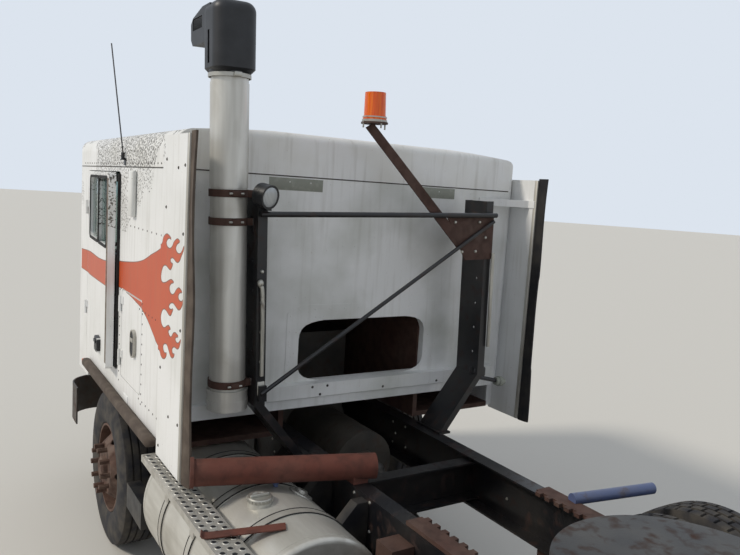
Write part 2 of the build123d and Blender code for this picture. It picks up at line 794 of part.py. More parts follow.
def tank_deck():
    """Bent deck plate on gussets that stand on the straps."""
    low = DECK_TOP - DECK_T
    deck = box(DECK_X0, DECK_X1, DECK_Y0, DECK_Y1, low, DECK_TOP)
    deck += box(DECK_X1 - DECK_T, DECK_X1, DECK_Y0, DECK_Y1, DECK_TOP - DECK_LIP, DECK_TOP)
    for y in STRAP_Y:
        gusset = box(GUSSET_X0, GUSSET_X1, y - STRAP_W / 2, y + STRAP_W / 2, TANK_Z, low + 1)
        deck += gusset - strap_seat(y, CRADLE_W)
    return deck


def step_bracket():
    """Folded step channel ahead of the tank, on an arm from the rail's web."""
    channel = box(STEP_X0, STEP_X1, STEP_Y0, STEP_Y1, STEP_Z0, STEP_Z1)
    inner = (STEP_X0 + STEP_T, STEP_X1 - STEP_T, STEP_Y0 - 1, STEP_Y1 - STEP_T)
    channel -= box(*inner, STEP_Z0 - 1, STEP_Z1 - STEP_T)
    arm_y = STEP_Y0 + 160
    rail_x = RAIL_HALF + SEAT
    arm = box(rail_x, STEP_X0 + 1, arm_y, arm_y + 70, STEP_Z0 + 20, STEP_Z0 + 60)
    return channel + arm + box(rail_x, rail_x + 14, arm_y, arm_y + 70, STEP_Z0 + 20, RAIL_TOP - 30)


write("fuel_tank_left", fuel_tank())
write("tank_deck_left", tank_deck(), *[tank_cradle(y) for y in STRAP_Y], step_bracket())

# Rusty tube lying across the left rail, a little askew, on a saddle
TUBE_R = 62.0
TUBE_Z = RAIL_TOP + 12 + TUBE_R
TUBE_LEFT = (1139.0, 1710.0)
TUBE_RIGHT = (304.0, 1970.0)
TUBE_RING_T = 17.0
SADDLE_LEN = 80.0


def cross_tube():
    left = Vector(*TUBE_LEFT, TUBE_Z)
    right = Vector(*TUBE_RIGHT, TUBE_Z)
    along = (right - left).normalized()
    tube = bar(left, right, TUBE_R) + bar(left, left + along * TUBE_RING_T, TUBE_R + 8)
    middle_x = RAIL_HALF - RAIL_FLANGE / 2
    at = left + along * ((middle_x - left.X) / along.X)
    half = RAIL_FLANGE / 2 - 4
    y0 = at.Y - SADDLE_LEN / 2
    return tube + box(at.X - half, at.X + half, y0, y0 + SADDLE_LEN, RAIL_TOP + SEAT, TUBE_Z - TUBE_R / 2)


write("cross_tube", cross_tube())

# Work rack: two channel posts whose webs face left, on leaning legs, with a pipe and a brace
FOOT_T = 12.0
FOOT_EDGE = 15.0
BRACE_R = 11.0
POST_HOLE_R = 8.0
POST_HOLES = 6
POST_HOLE_PITCH = 150.0
POST_HOLE_Z = 1500.0
POST_HOLE_FROM_REAR = 60.0
POSTS = (
    # side, web's outer face above, web's outer face at the foot
    ("left", LEFT_POST_X, LEFT_FOOT_X),
    ("right", RIGHT_POST_X, RIGHT_FOOT_X),
)
BAR_W = 60.0
BAR_T = 10.0
PIPE_Y = POST_Y1 + BAR_T + 2 * SEAT + PIPE_R
PAD = 40.0


def lean(shape):
    """Lean a piece of the rack about the middle of the rails' top."""
    return Pos(0, 0, RAIL_TOP) * Rot(0, RACK_LEAN, 0) * Pos(0, 0, -RAIL_TOP) * shape


def rack_post(post_x, foot_x):
    """Channel with its web to the left and its flanges to the right, bent once above its foot."""
    y0 = POST_Y1 - POST_DEPTH
    line = ((foot_x, RAIL_TOP - 60), (post_x, POST_BEND_Z), (post_x, POST_TOP_Z))
    back = tuple((x - POST_FLANGE, z) for x, z in reversed(line))
    post = plate_xz(line + back, y0, POST_Y1)
    inner = tuple((x - POST_T, z) for x, z in line)
    inner = inner[:-1] + ((inner[-1][0], POST_TOP_Z + 1),)
    beyond = tuple((x - 2 * POST_FLANGE, z) for x, z in reversed(inner))
    post -= plate_xz(inner + beyond, y0 + POST_T, POST_Y1 - POST_T)
    hole_y = POST_Y1 - POST_HOLE_FROM_REAR
    for index in range(POST_HOLES):
        hole_z = POST_HOLE_Z + index * POST_HOLE_PITCH
        post -= rod_x(POST_HOLE_R, post_x - 2 * POST_T, post_x + POST_T, hole_y, hole_z)
    foot_z = RAIL_TOP + SEAT
    post = lean(post) & box(-BIG, BIG, 0, BIG, foot_z, BIG)
    at = foot_x + (post_x - foot_x) * 60 / (POST_BEND_Z - RAIL_TOP + 60)
    foot_y = (y0 - FOOT_EDGE, POST_Y1 + FOOT_EDGE)
    return post + box(at - POST_FLANGE - FOOT_EDGE, at + FOOT_EDGE, *foot_y, foot_z, foot_z + FOOT_T)


def rack_tubes():
    """Level pipe over the posts' rear flanges, and the brace below it, each on a welded pad."""
    pad_y0 = POST_Y1 + SEAT
    left_x = LEFT_POST_X - POST_FLANGE
    pipe = rod_x(PIPE_R, RIGHT_POST_X - POST_FLANGE - 5, LEFT_POST_X - 5, PIPE_Y, PIPE_Z)
    pipe += box(left_x, left_x + PAD, pad_y0, PIPE_Y, PIPE_Z - PIPE_R + 2, PIPE_Z + PIPE_R - 2)
    low_z = POST_BEND_Z + 70
    high_z = PIPE_Z - PIPE_R - 2 * BRACE_R
    low = Vector(LEFT_POST_X - PAD / 2, PIPE_Y - 2, low_z)
    high = Vector(RIGHT_POST_X - PAD, PIPE_Y - 2, high_z)
    brace = bar(low, high, BRACE_R)
    brace += box(left_x, left_x + PAD, pad_y0, PIPE_Y - 2, low_z - PAD, low_z + PAD)
    return lean(pipe), lean(brace)


for side, post_x, foot_x in POSTS:
    write(f"rack_post_{side}", rack_post(post_x, foot_x))
write("rack_tubes", *rack_tubes())

# Air intake stack: its foot's collar, lower tube, mitred sleeve, bands to the post, inlet hood
BAND_H = 34.0
BAND_T = 5.0
BAND_ZS = (1468.0, 2272.0, 2407.0)
STACK_T = 4.0
SOCKET_DEPTH = 150.0
SLEEVE_R = STACK_R + 3.0
SLEEVE_END = 60.0
HOOD_NECK_R = SLEEVE_R + 6.0
HOOD_LAP = 32.0
NECK_SHOWN = 14.0
HOOD_CHAMFER = 20.0
HOOD_W = 210.0
HOOD_REAR = 110.0
HOOD_FRONT = 105.0
SCOOP_REACH = 275.0
SCOOP_DROP = 175.0
SLOT_DEPTH = 9.0


def air_stack():
    stack = rod_z(STACK_R, STACK_Z0, STACK_Z1, STACK_X, STACK_Y)
    stack += rod_z(COLLAR_R, STACK_Z0, STACK_Z0 + COLLAR_H, STACK_X, STACK_Y)
    stack -= rod_z(STACK_R - STACK_T, STACK_Z0 - 1, STACK_Z0 + SOCKET_DEPTH, STACK_X, STACK_Y)
    sleeve = rod_z(SLEEVE_R, STACK_SLEEVE_Z, STACK_Z1 - SLEEVE_END, STACK_X, STACK_Y)
    stack += sleeve - rod_z(STACK_R - 1, STACK_Z0, STACK_Z1, STACK_X, STACK_Y)
    for z in BAND_ZS:
        band = rod_z(STACK_R + BAND_T, z, z + BAND_H, STACK_X, STACK_Y)
        band += box(LEFT_POST_X + SEAT, STACK_X, STACK_Y + 40, STACK_Y + 60, z, z + BAND_H)
        stack += band - rod_z(STACK_R - 1, z - 1, z + BAND_H + 1, STACK_X, STACK_Y)
    return lean(stack)


def air_inlet():
    """Rain hood: a neck over the stack's end, a rounded body, and a scoop with side slots."""
    neck = rod_z(HOOD_NECK_R, STACK_Z1 - HOOD_LAP, STACK_Z1, STACK_X, STACK_Y)
    bore = rod_z(SLEEVE_R + SEAT, STACK_Z1 - 2 * HOOD_LAP, STACK_Z1 + SEAT, STACK_X, STACK_Y)
    half = HOOD_W / 2
    x0 = STACK_X - half
    x1 = STACK_X + half
    top = STACK_Z1 + HOOD_H
    low = STACK_Z1 - HOOD_LAP + NECK_SHOWN
    body = box(x0, x1, STACK_Y - HOOD_FRONT, STACK_Y + HOOD_REAR, low, top)
    body = fillet(body.edges().filter_by(Axis.Z), half * 0.6)
    body = fillet(body.edges().group_by(Axis.Z)[-1], half * 0.45)
    body = chamfer(body.edges().group_by(Axis.Z)[0], HOOD_CHAMFER)
    scoop_low = top - SCOOP_DROP
    nose = STACK_Y - SCOOP_REACH
    side = (
        (STACK_Y, scoop_low - 5),
        (nose + 25, scoop_low),
        (nose, scoop_low + 30),
        (nose, top - 70),
        (nose + 30, top - 45),
        (STACK_Y - HOOD_FRONT, top - 12),
        (STACK_Y, top - 12),
    )
    scoop = plate_yz(side, x0 + 6, x1 - 6)
    slot = (nose + 30, STACK_Y - HOOD_FRONT - 5, top - 105, top - 50)
    for edge in (x0 + 6, x1 - 6):
        scoop -= box(edge - SLOT_DEPTH, edge + SLOT_DEPTH, *slot)
    hood = neck + body + scoop - bore
    for edge in (x0, x1):
        hood -= box(edge - SLOT_DEPTH, edge + SLOT_DEPTH, STACK_Y - 12, STACK_Y + 12, low + 40, low + 190)
    return lean(hood)


write("air_stack", air_stack())
write("air_inlet", air_inlet())

# Work lamp on the left post, beacon on a leaning bar above the right post
LAMP_R = 56.0
LAMP_DEPTH = 62.0
LAMP_X = 745.0
LAMP_Z = 2419.0
LAMP_TURN = 22.0
LAMP_DIP = 10.0
BEACON_R = 62.0
BEACON_H = 122.0
BEACON_BASE_H = 28.0
PLATE_R = 70.0
PLATE_T = 9.0


def work_lamp():
    """Round lamp turned inwards and down, on a stem from the post's rear flange."""
    y = POST_Y1 + SEAT
    stem_x = LEFT_POST_X - POST_FLANGE + 15
    lamp_y = y + LAMP_R * 0.9
    aim = Rot(0, 0, LAMP_TURN) * Rot(-90 - LAMP_DIP, 0, 0)
    lamp = Pos(LAMP_X, lamp_y, LAMP_Z) * aim * Cylinder(LAMP_R, LAMP_DEPTH)
    stem = box(stem_x - 12, stem_x + 12, y, lamp_y, PIPE_Z + PIPE_R + 4, POST_TOP_Z - 4)
    return lean(lamp + stem)


def beacon_bar():
    """Flat bar from a gusset on the right post up to the beacon's round plate."""
    y0 = POST_Y1 + SEAT
    inner_x = RIGHT_POST_X
    gusset_top = PIPE_Z - PIPE_R - SEAT
    gusset = (
        (inner_x - POST_FLANGE, gusset_top),
        (inner_x + 290, gusset_top),
        (inner_x + 150, gusset_top - 245),
        (inner_x - POST_FLANGE, gusset_top - 245),
    )
    low_x = inner_x + 184
    low_z = PIPE_Z - 174
    rise = BEACON_Z - low_z
    run = BEACON_X + 30 - low_x
    length = (rise ** 2 + run ** 2) ** 0.5
    side_x = BAR_W / 2 * rise / length
    side_z = BAR_W / 2 * run / length
    side = (
        (low_x + side_x, low_z - side_z),
        (low_x + run + side_x, BEACON_Z - side_z),
        (low_x + run - side_x, BEACON_Z + side_z / 4),
        (low_x - side_x, low_z + side_z),
    )
    arm = plate_xz(gusset, y0, y0 + BAR_T) + plate_xz(side, y0, y0 + BAR_T)
    return lean(arm + rod_z(PLATE_R, BEACON_Z, BEACON_Z + PLATE_T, BEACON_X, y0 + BAR_T / 2))


def beacon_lamp():
    y = POST_Y1 + SEAT + BAR_T / 2
    z = BEACON_Z + PLATE_T + SEAT
    base = rod_z(BEACON_R, z, z + BEACON_BASE_H, BEACON_X, y)
    lens = Pos(BEACON_X, y, z + BEACON_BASE_H - 1 + BEACON_H / 2) * Cone(BEACON_R - 5, BEACON_R - 8, BEACON_H)
    return lean(base + lens)


write("work_lamp", work_lamp())
write("beacon_bar", beacon_bar())
write("beacon_lamp", beacon_lamp())


# Front bumper: bent plate whose ends run back round the corners, on two stays
def bumper():
    def outline(inset):
        half = BUMPER_HALF - inset
        front = BUMPER_FRONT_Y + inset
        radius = BUMPER_R - inset
        back = BUMPER_END_Y
        return [
            Line((-half, back), (-half, front + radius)),
            RadiusArc((-half, front + radius), (-half + radius, front), -radius),
            Line((-half + radius, front), (half - radius, front)),
            RadiusArc((half - radius, front), (half, front + radius), -radius),
            Line((half, front + radius), (half, back)),
            Line((half, back), (-half, back)),
        ]

    outer = extrude(make_face(outline(0)), amount=BUMPER_Z1 - BUMPER_Z0)
    inner = extrude(make_face(outline(BUMPER_T)), amount=BUMPER_Z1 - BUMPER_Z0 + 2)
    shell = Pos(0, 0, BUMPER_Z0) * outer - Pos(0, 0, BUMPER_Z0 - 1) * inner
    for side in (-1, 1):
        x = side * (RAIL_HALF - 50)
        stay = (
            (BUMPER_FRONT_Y + BUMPER_T - 1, BUMPER_Z0 + 60),
            (BUMPER_FRONT_Y + BUMPER_T - 1, RAIL_TOP - RAIL_H - 10),
            (RAIL_FRONT_Y + 60, RAIL_TOP - RAIL_H - SEAT),
            (RAIL_FRONT_Y + 220, RAIL_TOP - RAIL_H - SEAT),
        )
        shell += plate_yz(stay, x - 8, x + 8)
    return shell


write("bumper", bumper())


# Cab shell: one rounded ring cut at the real panel seams
def cab_plan(inset, z0, z1):
    """The cab's plan outline, moved inwards by the inset and extruded."""
    half = CAB_HALF - inset
    front = CAB_FRONT_Y + inset
    rear = CAB_REAR_Y - inset
    nose = CAB_FRONT_R - inset
    tail = CAB_REAR_R - inset
    edges = [
        Line((-half, rear - tail), (-half, front + nose)),
        RadiusArc((-half, front + nose), (-half + nose, front), -nose),
        Line((-half + nose, front), (half - nose, front)),
        RadiusArc((half - nose, front), (half, front + nose), -nose),
        Line((half, front + nose), (half, rear - tail)),
        RadiusArc((half, rear - tail), (half - tail, rear), -tail),
        Line((half - tail, rear), (-half + tail, rear)),
        RadiusArc((-half + tail, rear), (-half, rear - tail), -tail),
    ]
    return Pos(0, 0, z0) * extrude(make_face(edges), amount=z1 - z0)


def cab_ring(z0, z1):
    return cab_plan(0, z0, z1) - cab_plan(CAB_WALL, z0 - 1, z1 + 1)


def rounded_cut_x(y0, y1, z0, z1, radius, x0, x1):
    """Rounded opening through a side wall."""
    face = Plane.YZ * Pos((y0 + y1) / 2, (z0 + z1) / 2) * RectangleRounded(y1 - y0, z1 - z0, radius)
    return Pos(x0, 0, 0) * extrude(face, amount=x1 - x0, dir=(1, 0, 0))


def rounded_cut_y(x0, x1, z0, z1, radius, y0, y1):
    """Rounded opening through the front or rear wall."""
    face = Plane.XZ * Pos((x0 + x1) / 2, (z0 + z1) / 2) * RectangleRounded(x1 - x0, z1 - z0, radius)
    return Pos(0, y0, 0) * extrude(face, amount=y1 - y0, dir=(0, 1, 0))


REAR_SEAM_Y = CAB_REAR_Y - CAB_REAR_R
WALL_X0 = CAB_HALF - CAB_WALL - 20
WALL_X1 = CAB_HALF + 20
DOOR_R = 40.0
WINDOW_R = 50.0
LUGGAGE_R = 30.0
SKIRT_Y1 = -740.0
HINGE_OUT = 12.0
HINGE_R = 9.0
HINGE_PIN_R = 5.0
HINGE_H = 50.0
HINGE_LEAF = 40.0
HINGE_LEAF_T = 6.0
DOOR_HINGE_ZS = (1400.0, 2150.0)
LUGGAGE_HINGE_ZS = (1270.0, 1610.0)
PULL_W = 120.0
PULL_H = 95.0
PULL_OUT = 24.0
LATCH_W = 72.0
LATCH_H = 150.0
LATCH_OUT = 14.0


def hinge_fixed(seam_y, z):
    """Lower half of a lift-off hinge: plate on the wall, knuckle and pin."""
    x = CAB_HALF + HINGE_OUT
    y1 = seam_y - DOOR_GAP / 2
    plate = box(CAB_HALF - 1, CAB_HALF + HINGE_LEAF_T, seam_y - HINGE_LEAF, y1, z, z + HINGE_H)
    link = box(CAB_HALF, x, seam_y - HINGE_R, y1, z, z + HINGE_H)
    knuckle_half = rod_z(HINGE_R, z, z + HINGE_H, x, seam_y)
    return plate + link + knuckle_half + rod_z(HINGE_PIN_R, z, z + 1.9 * HINGE_H, x, seam_y)


def hinge_moving(seam_y, z):
    """Upper half of the hinge, on the leaf that turns."""
    x = CAB_HALF + HINGE_OUT
    z0 = z + HINGE_H + PIN_GAP
    y0 = seam_y + DOOR_GAP / 2
    plate = box(CAB_HALF - 1, CAB_HALF + HINGE_LEAF_T, y0, seam_y + HINGE_LEAF, z0, z0 + HINGE_H)
    link = box(CAB_HALF, x, y0, seam_y + HINGE_R, z0, z0 + HINGE_H)
    knuckle_half = rod_z(HINGE_R, z0, z0 + HINGE_H, x, seam_y)
    return plate + link + knuckle_half - rod_z(HINGE_PIN_R + PIN_GAP, z0 - 1, z0 + 2 * HINGE_H, x, seam_y)


def side_wall():
    """Left wall between the front pillar and the rear seam, with door and luggage openings."""
    wall = cab_ring(CAB_FLOOR_Z, CAB_SEAM_Z) & box(0, BIG, PILLAR_Y, REAR_SEAM_Y, 0, BIG)
    gap = DOOR_GAP
    wall -= rounded_cut_x(DOOR_Y0 - gap, DOOR_Y1 + gap, DOOR_Z0 - gap, DOOR_Z1 + gap, DOOR_R, WALL_X0, WALL_X1)
    wall -= rounded_cut_x(
        LUGGAGE_Y0 - gap, LUGGAGE_Y1 + gap, LUGGAGE_Z0 - gap, LUGGAGE_Z1 + gap, LUGGAGE_R, WALL_X0, WALL_X1
    )
    skirt = (
        (PILLAR_Y, CAB_NOSE_Z),
        (SKIRT_Y1 - 60, CAB_NOSE_Z),
        (SKIRT_Y1, CAB_FLOOR_Z + 1),
        (PILLAR_Y, CAB_FLOOR_Z + 1),
    )
    wall += plate_yz(skirt, CAB_HALF - CAB_WALL, CAB_HALF)
    for z in DOOR_HINGE_ZS:
        wall += hinge_fixed(DOOR_Y0 - gap / 2, z)
    for z in LUGGAGE_HINGE_ZS:
        wall += hinge_fixed(LUGGAGE_Y0 - gap / 2, z)
    return wall


def ajar(shape):
    """Turn a piece of the left door about its hinge to the place where it was left."""
    x = CAB_HALF + HINGE_OUT
    y = DOOR_Y0 - DOOR_GAP / 2
    return Pos(x, y, 0) * Rot(0, 0, -DOOR_AJAR) * Pos(-x, -y, 0) * shape


def door():
    """Door leaf with a rounded window, its upright divider and a pull low at the rear."""
    x0 = CAB_HALF - CAB_WALL
    leaf = rounded_cut_x(DOOR_Y0, DOOR_Y1, DOOR_Z0, DOOR_Z1, DOOR_R, x0, CAB_HALF)
    leaf -= rounded_cut_x(WINDOW_Y0, WINDOW_Y1, WINDOW_Z0, WINDOW_Z1, WINDOW_R, WALL_X0, WALL_X1)
    leaf += box(x0, CAB_HALF, *divider_span(0), WINDOW_Z0 - 1, WINDOW_Z1 + 1)
    pull_y = DOOR_PULL_Y - PULL_W / 2
    pull_z = DOOR_PULL_Z - PULL_H / 2
    leaf += box(CAB_HALF - 1, CAB_HALF + PULL_OUT, pull_y, pull_y + PULL_W, pull_z, pull_z + PULL_H)
    for z in DOOR_HINGE_ZS:
        leaf += hinge_moving(DOOR_Y0 - DOOR_GAP / 2, z)
    return leaf


def divider_span(gap):
    return DIVIDER_Y - DIVIDER_W / 2 - gap, DIVIDER_Y + DIVIDER_W / 2 + gap


def door_glass():
    x = CAB_HALF - (CAB_WALL + GLASS_T) / 2
    y_span = (WINDOW_Y0 + SEAT, WINDOW_Y1 - SEAT)
    z_span = (WINDOW_Z0 + SEAT, WINDOW_Z1 - SEAT)
    pane = rounded_cut_x(*y_span, *z_span, WINDOW_R, x, x + GLASS_T)
    return pane - box(WALL_X0, WALL_X1, *divider_span(SEAT), 0, BIG)


def luggage_door():
    x0 = CAB_HALF - CAB_WALL + DOOR_GAP
    leaf = rounded_cut_x(LUGGAGE_Y0, LUGGAGE_Y1, LUGGAGE_Z0, LUGGAGE_Z1, LUGGAGE_R, x0, CAB_HALF)
    leaf += rounded_cut_x(
        LATCH_Y - LATCH_W / 2, LATCH_Y + LATCH_W / 2, LATCH_Z - LATCH_H / 2, LATCH_Z + LATCH_H / 2,
        LATCH_W / 2 - 1, CAB_HALF - 1, CAB_HALF + LATCH_OUT
    )
    for z in LUGGAGE_HINGE_ZS:
        leaf += hinge_moving(LUGGAGE_Y0 - DOOR_GAP / 2, z)
    return leaf


def front_wall():
    """Flat face with rounded corners, a nose panel, two panes' openings and the grille opening."""
    wall = cab_ring(CAB_NOSE_Z, CAB_SEAM_Z) & box(-BIG, BIG, -BIG, PILLAR_Y, 0, BIG)
    y0 = CAB_FRONT_Y - 20
    y1 = CAB_FRONT_Y + CAB_WALL + 20
    for side in (-1, 1):
        near, far = sorted((side * SCREEN_POST / 2, side * SCREEN_HALF))
        wall -= rounded_cut_y(near, far, SCREEN_Z0, SCREEN_Z1, 60, y0, y1)
    return wall - rounded_cut_y(-GRILLE_HALF, GRILLE_HALF, GRILLE_Z0, GRILLE_Z1, 40, y0, y1)


def windscreen():
    y = CAB_FRONT_Y + (CAB_WALL - GLASS_T) / 2
    panes = []
    for side in (-1, 1):
        near, far = sorted((side * (SCREEN_POST / 2 + SEAT), side * (SCREEN_HALF - SEAT)))
        panes.append(rounded_cut_y(near, far, SCREEN_Z0 + SEAT, SCREEN_Z1 - SEAT, 60, y, y + GLASS_T))
    return panes


GRILLE_BARS = 9
GRILLE_BAR_H = 26.0
GRILLE_EDGE = 34.0


def grille():
    """Frame with level bars and three uprights, let into the nose panel."""
    y0 = CAB_FRONT_Y - 8
    y1 = CAB_FRONT_Y + CAB_WALL
    half = GRILLE_HALF - SEAT
    z0 = GRILLE_Z0 + SEAT
    z1 = GRILLE_Z1 - SEAT
    surround = rounded_cut_y(-half, half, z0, z1, 40, y0, y1)
    surround -= rounded_cut_y(
        -half + GRILLE_EDGE, half - GRILLE_EDGE, z0 + GRILLE_EDGE, z1 - GRILLE_EDGE, 15, y0 - 1, y1 + 1
    )
    pitch = (z1 - z0 - 2 * GRILLE_EDGE) / (GRILLE_BARS + 1)
    for index in range(GRILLE_BARS):
        z = z0 + GRILLE_EDGE + pitch * (index + 1)
        surround += box(-half + 1, half - 1, y0 + 6, y1 - 10, z - GRILLE_BAR_H / 2, z + GRILLE_BAR_H / 2)
    for x in (-half / 2, 0, half / 2):
        surround += box(x - 6, x + 6, y1 - 16, y1 - 4, z0 + 1, z1 - 1)
    return surround


def rear_wall():
    """Flat back with the low access opening and a two-step beam below it."""
    wall = cab_ring(BEAM_Z0, CAB_SEAM_Z) & box(-BIG, BIG, REAR_SEAM_Y, BIG, 0, BIG)
    y0 = CAB_REAR_Y - CAB_WALL - 20
    wall -= rounded_cut_y(
        OPENING_X - OPENING_HALF, OPENING_X + OPENING_HALF, OPENING_Z0, OPENING_Z1, OPENING_R, y0, CAB_REAR_Y + 20
    )
    wall -= box(
        OPENING_X - OPENING_HALF, OPENING_X + OPENING_HALF, y0, CAB_REAR_Y + 20, OPENING_Z0, OPENING_Z0 + OPENING_R + 1
    )
    step_z = (BEAM_Z0 + OPENING_Z0) / 2 - 20
    reach = CAB_HALF - CAB_REAR_R - 40
    beam = (
        (CAB_REAR_Y - 1, BEAM_Z0),
        (CAB_REAR_Y + BEAM_DEPTH - 16, BEAM_Z0),
        (CAB_REAR_Y + BEAM_DEPTH - 16, step_z),
        (CAB_REAR_Y + BEAM_DEPTH, step_z + 8),
        (CAB_REAR_Y + BEAM_DEPTH, OPENING_Z0 - 6),
        (CAB_REAR_Y - 1, OPENING_Z0),
    )
    wall += plate_yz(beam, -reach, LEDGE_X0)
    ledge_y = CAB_REAR_Y + BEAM_DEPTH - 2
    wall += box(LEDGE_X0 - 1, LEDGE_X1, CAB_REAR_Y - 1, ledge_y, LEDGE_Z - LEDGE_T, LEDGE_Z)
    return wall + box(LEDGE_X0 - 1, LEDGE_X1, ledge_y - LEDGE_T / 2, ledge_y, BEAM_Z0, LEDGE_Z)


def cab_floor():
    """Floor with the engine tunnel, the bunk's platform over the luggage boxes, and tilt ears."""
    reach = CAB_HALF - CAB_WALL - SEAT
    floor_top = CAB_FLOOR_Z + FLOOR_T
    wall = TUNNEL_HALF + FLOOR_T
    section = (
        (reach, CAB_FLOOR_Z),
        (reach, floor_top),
        (wall, floor_top),
        (wall, TUNNEL_TOP + FLOOR_T),
        (-wall, TUNNEL_TOP + FLOOR_T),
        (-wall, floor_top),
        (-reach, floor_top),
        (-reach, CAB_FLOOR_Z),
        (-TUNNEL_HALF, CAB_FLOOR_Z),
        (-TUNNEL_HALF, TUNNEL_TOP),
        (TUNNEL_HALF, TUNNEL_TOP),
        (TUNNEL_HALF, CAB_FLOOR_Z),
    )
    floor = plate_xz(section, CAB_FRONT_Y, CAB_REAR_Y)
    floor += box(-reach, reach, BUNK_Y0, CAB_REAR_Y, TUNNEL_TOP, TUNNEL_TOP + FLOOR_T)
    for side in (-1, 1):
        near, far = sorted((side * (wall - 1), side * reach))
        floor += box(near, far, BUNK_Y0, BUNK_Y0 + FLOOR_T, CAB_FLOOR_Z, TUNNEL_TOP + FLOOR_T)
    floor &= cab_plan(CAB_WALL + SEAT, 0, BIG)
    ear_x0 = RAIL_HALF + 38
    ear = box(ear_x0, ear_x0 + 50, CAB_FRONT_Y + CAB_WALL + 3, TILT_Y + 50, TILT_Z, CAB_FLOOR_Z + 1)
    ear += rod_x(TILT_PIN_R * 2, ear_x0, ear_x0 + 50, TILT_Y, TILT_Z)
    ear -= rod_x(TILT_PIN_R + PIN_GAP, 0, BIG, TILT_Y, TILT_Z)
    return floor + ear + flip(ear)


BUNK_Y0 = 270.0
ROOF_FRONT_Z = 2595.0
ROOF_FRONT_R = 120.0
ROOF_REAR_R = 50.0


def roof_form(inset):
    """Crowned across and along, with a round brow and round upper edges, cut to the cab's plan."""
    half = CAB_HALF - inset
    edge = ROOF_EDGE_R - inset / 2
    edge_z = ROOF_EDGE_Z - inset
    base = CAB_SEAM_Z - inset
    across = [
        Line((-half, base), (-half, edge_z - edge)),
        RadiusArc((-half, edge_z - edge), (-half + edge, edge_z), edge),
        ThreePointArc((-half + edge, edge_z), (0, ROOF_CROWN_Z - inset), (half - edge, edge_z)),
        RadiusArc((half - edge, edge_z), (half, edge_z - edge), edge),
        Line((half, edge_z - edge), (half, base)),
        Line((half, base), (-half, base)),
    ]
    front = CAB_FRONT_Y + inset
    rear = CAB_REAR_Y - inset
    brow = ROOF_FRONT_R - inset / 2
    tail = ROOF_REAR_R - inset / 2
    brow_z = ROOF_FRONT_Z - inset / 2
    tail_z = ROOF_CROWN_Z - 15 - inset
    along = [
        Line((front, base), (front, brow_z)),
        RadiusArc((front, brow_z), (front + brow, brow_z + brow), brow),
        ThreePointArc((front + brow, brow_z + brow), (0, ROOF_CROWN_Z + 5 - inset), (rear - tail, tail_z)),
        RadiusArc((rear - tail, tail_z), (rear, tail_z - tail), tail),
        Line((rear, tail_z - tail), (rear, base)),
        Line((rear, base), (front, base)),
    ]
    crown = Pos(0, -BIG, 0) * extrude(Plane.XZ * make_face(across), amount=2 * BIG, dir=(0, 1, 0))
    side = Pos(-BIG, 0, 0) * extrude(Plane.YZ * make_face(along), amount=2 * BIG, dir=(1, 0, 0))
    return crown & side & cab_plan(inset, base, BIG)


def extender(rear_y, top_z, stay_reach):
    """Flat side panel that carries the cab's side back past the rear wall, with its stay."""
    x0 = CAB_HALF + SEAT
    panel = box(x0, x0 + EXTENDER_T, EXTENDER_Y0, rear_y, EXTENDER_Z0, top_z)
    panel = chamfer(panel.edges().filter_by(Axis.Z).sort_by(Axis.Y)[:2], 8)
    foot = box(x0 - STAY_T, x0 + 1, CAB_REAR_Y + STAY_T, rear_y - 10, STAY_Z, STAY_Z + STAY_H)
    start = CAB_REAR_Y + SEAT
    stay = (
        (x0 - stay_reach, start),
        (x0 - stay_reach, start + STAY_T),
        (x0 - STAY_T, rear_y - 60),
        (x0, rear_y - 60),
        (x0, rear_y - 90),
        (x0 - stay_reach + 60, start),
    )
    brace = Pos(0, 0, STAY_Z) * extrude(make_face(Polyline(*stay, close=True)), amount=STAY_H)
    return panel + foot + brace


def edge_flap(rear_y, top_z):
    x0 = CAB_HALF + SEAT + (EXTENDER_T - FLAP_T) / 2
    y0 = rear_y + SEAT
    return box(x0, x0 + FLAP_T, y0, y0 + FLAP_W, EXTENDER_Z0 - 5, top_z + 10)


def flare():
    """Rubber strip of rounded section along the cab's side, over the wheel."""
    x0 = CAB_HALF + SEAT
    section = (
        (x0, FLARE_Z0 + 12),
        (x0 + FLARE_W * 0.7, FLARE_Z0),
        (x0 + FLARE_W, FLARE_Z0 + 14),
        (x0 + FLARE_W * 0.86, FLARE_Z1 - 26),
        (x0, FLARE_Z1),
    )
    return plate_xz(section, FLARE_Y0, FLARE_Y1)


HEADLAMP_X0 = 640.0
HEADLAMP_X1 = 980.0
HEADLAMP_Z0 = 1010.0
HEADLAMP_Z1 = 1200.0


def headlamp():
    """Twin lamp housing on the nose panel, each lamp in a shallow recess."""
    y1 = CAB_FRONT_Y - SEAT
    housing = box(HEADLAMP_X0, HEADLAMP_X1, y1 - 36, y1, HEADLAMP_Z0, HEADLAMP_Z1)
    middle = (HEADLAMP_X0 + HEADLAMP_X1) / 2
    for x0, x1 in ((HEADLAMP_X0 + 14, middle - 7), (middle + 7, HEADLAMP_X1 - 14)):
        housing -= box(x0, x1, y1 - 40, y1 - 22, HEADLAMP_Z0 + 20, HEADLAMP_Z1 - 20)
    return housing


SEAT_HALF = 245.0
SEAT_X = CAB_HALF - CAB_WALL - SEAT_HALF - 60.0
SEAT_Y = -420.0


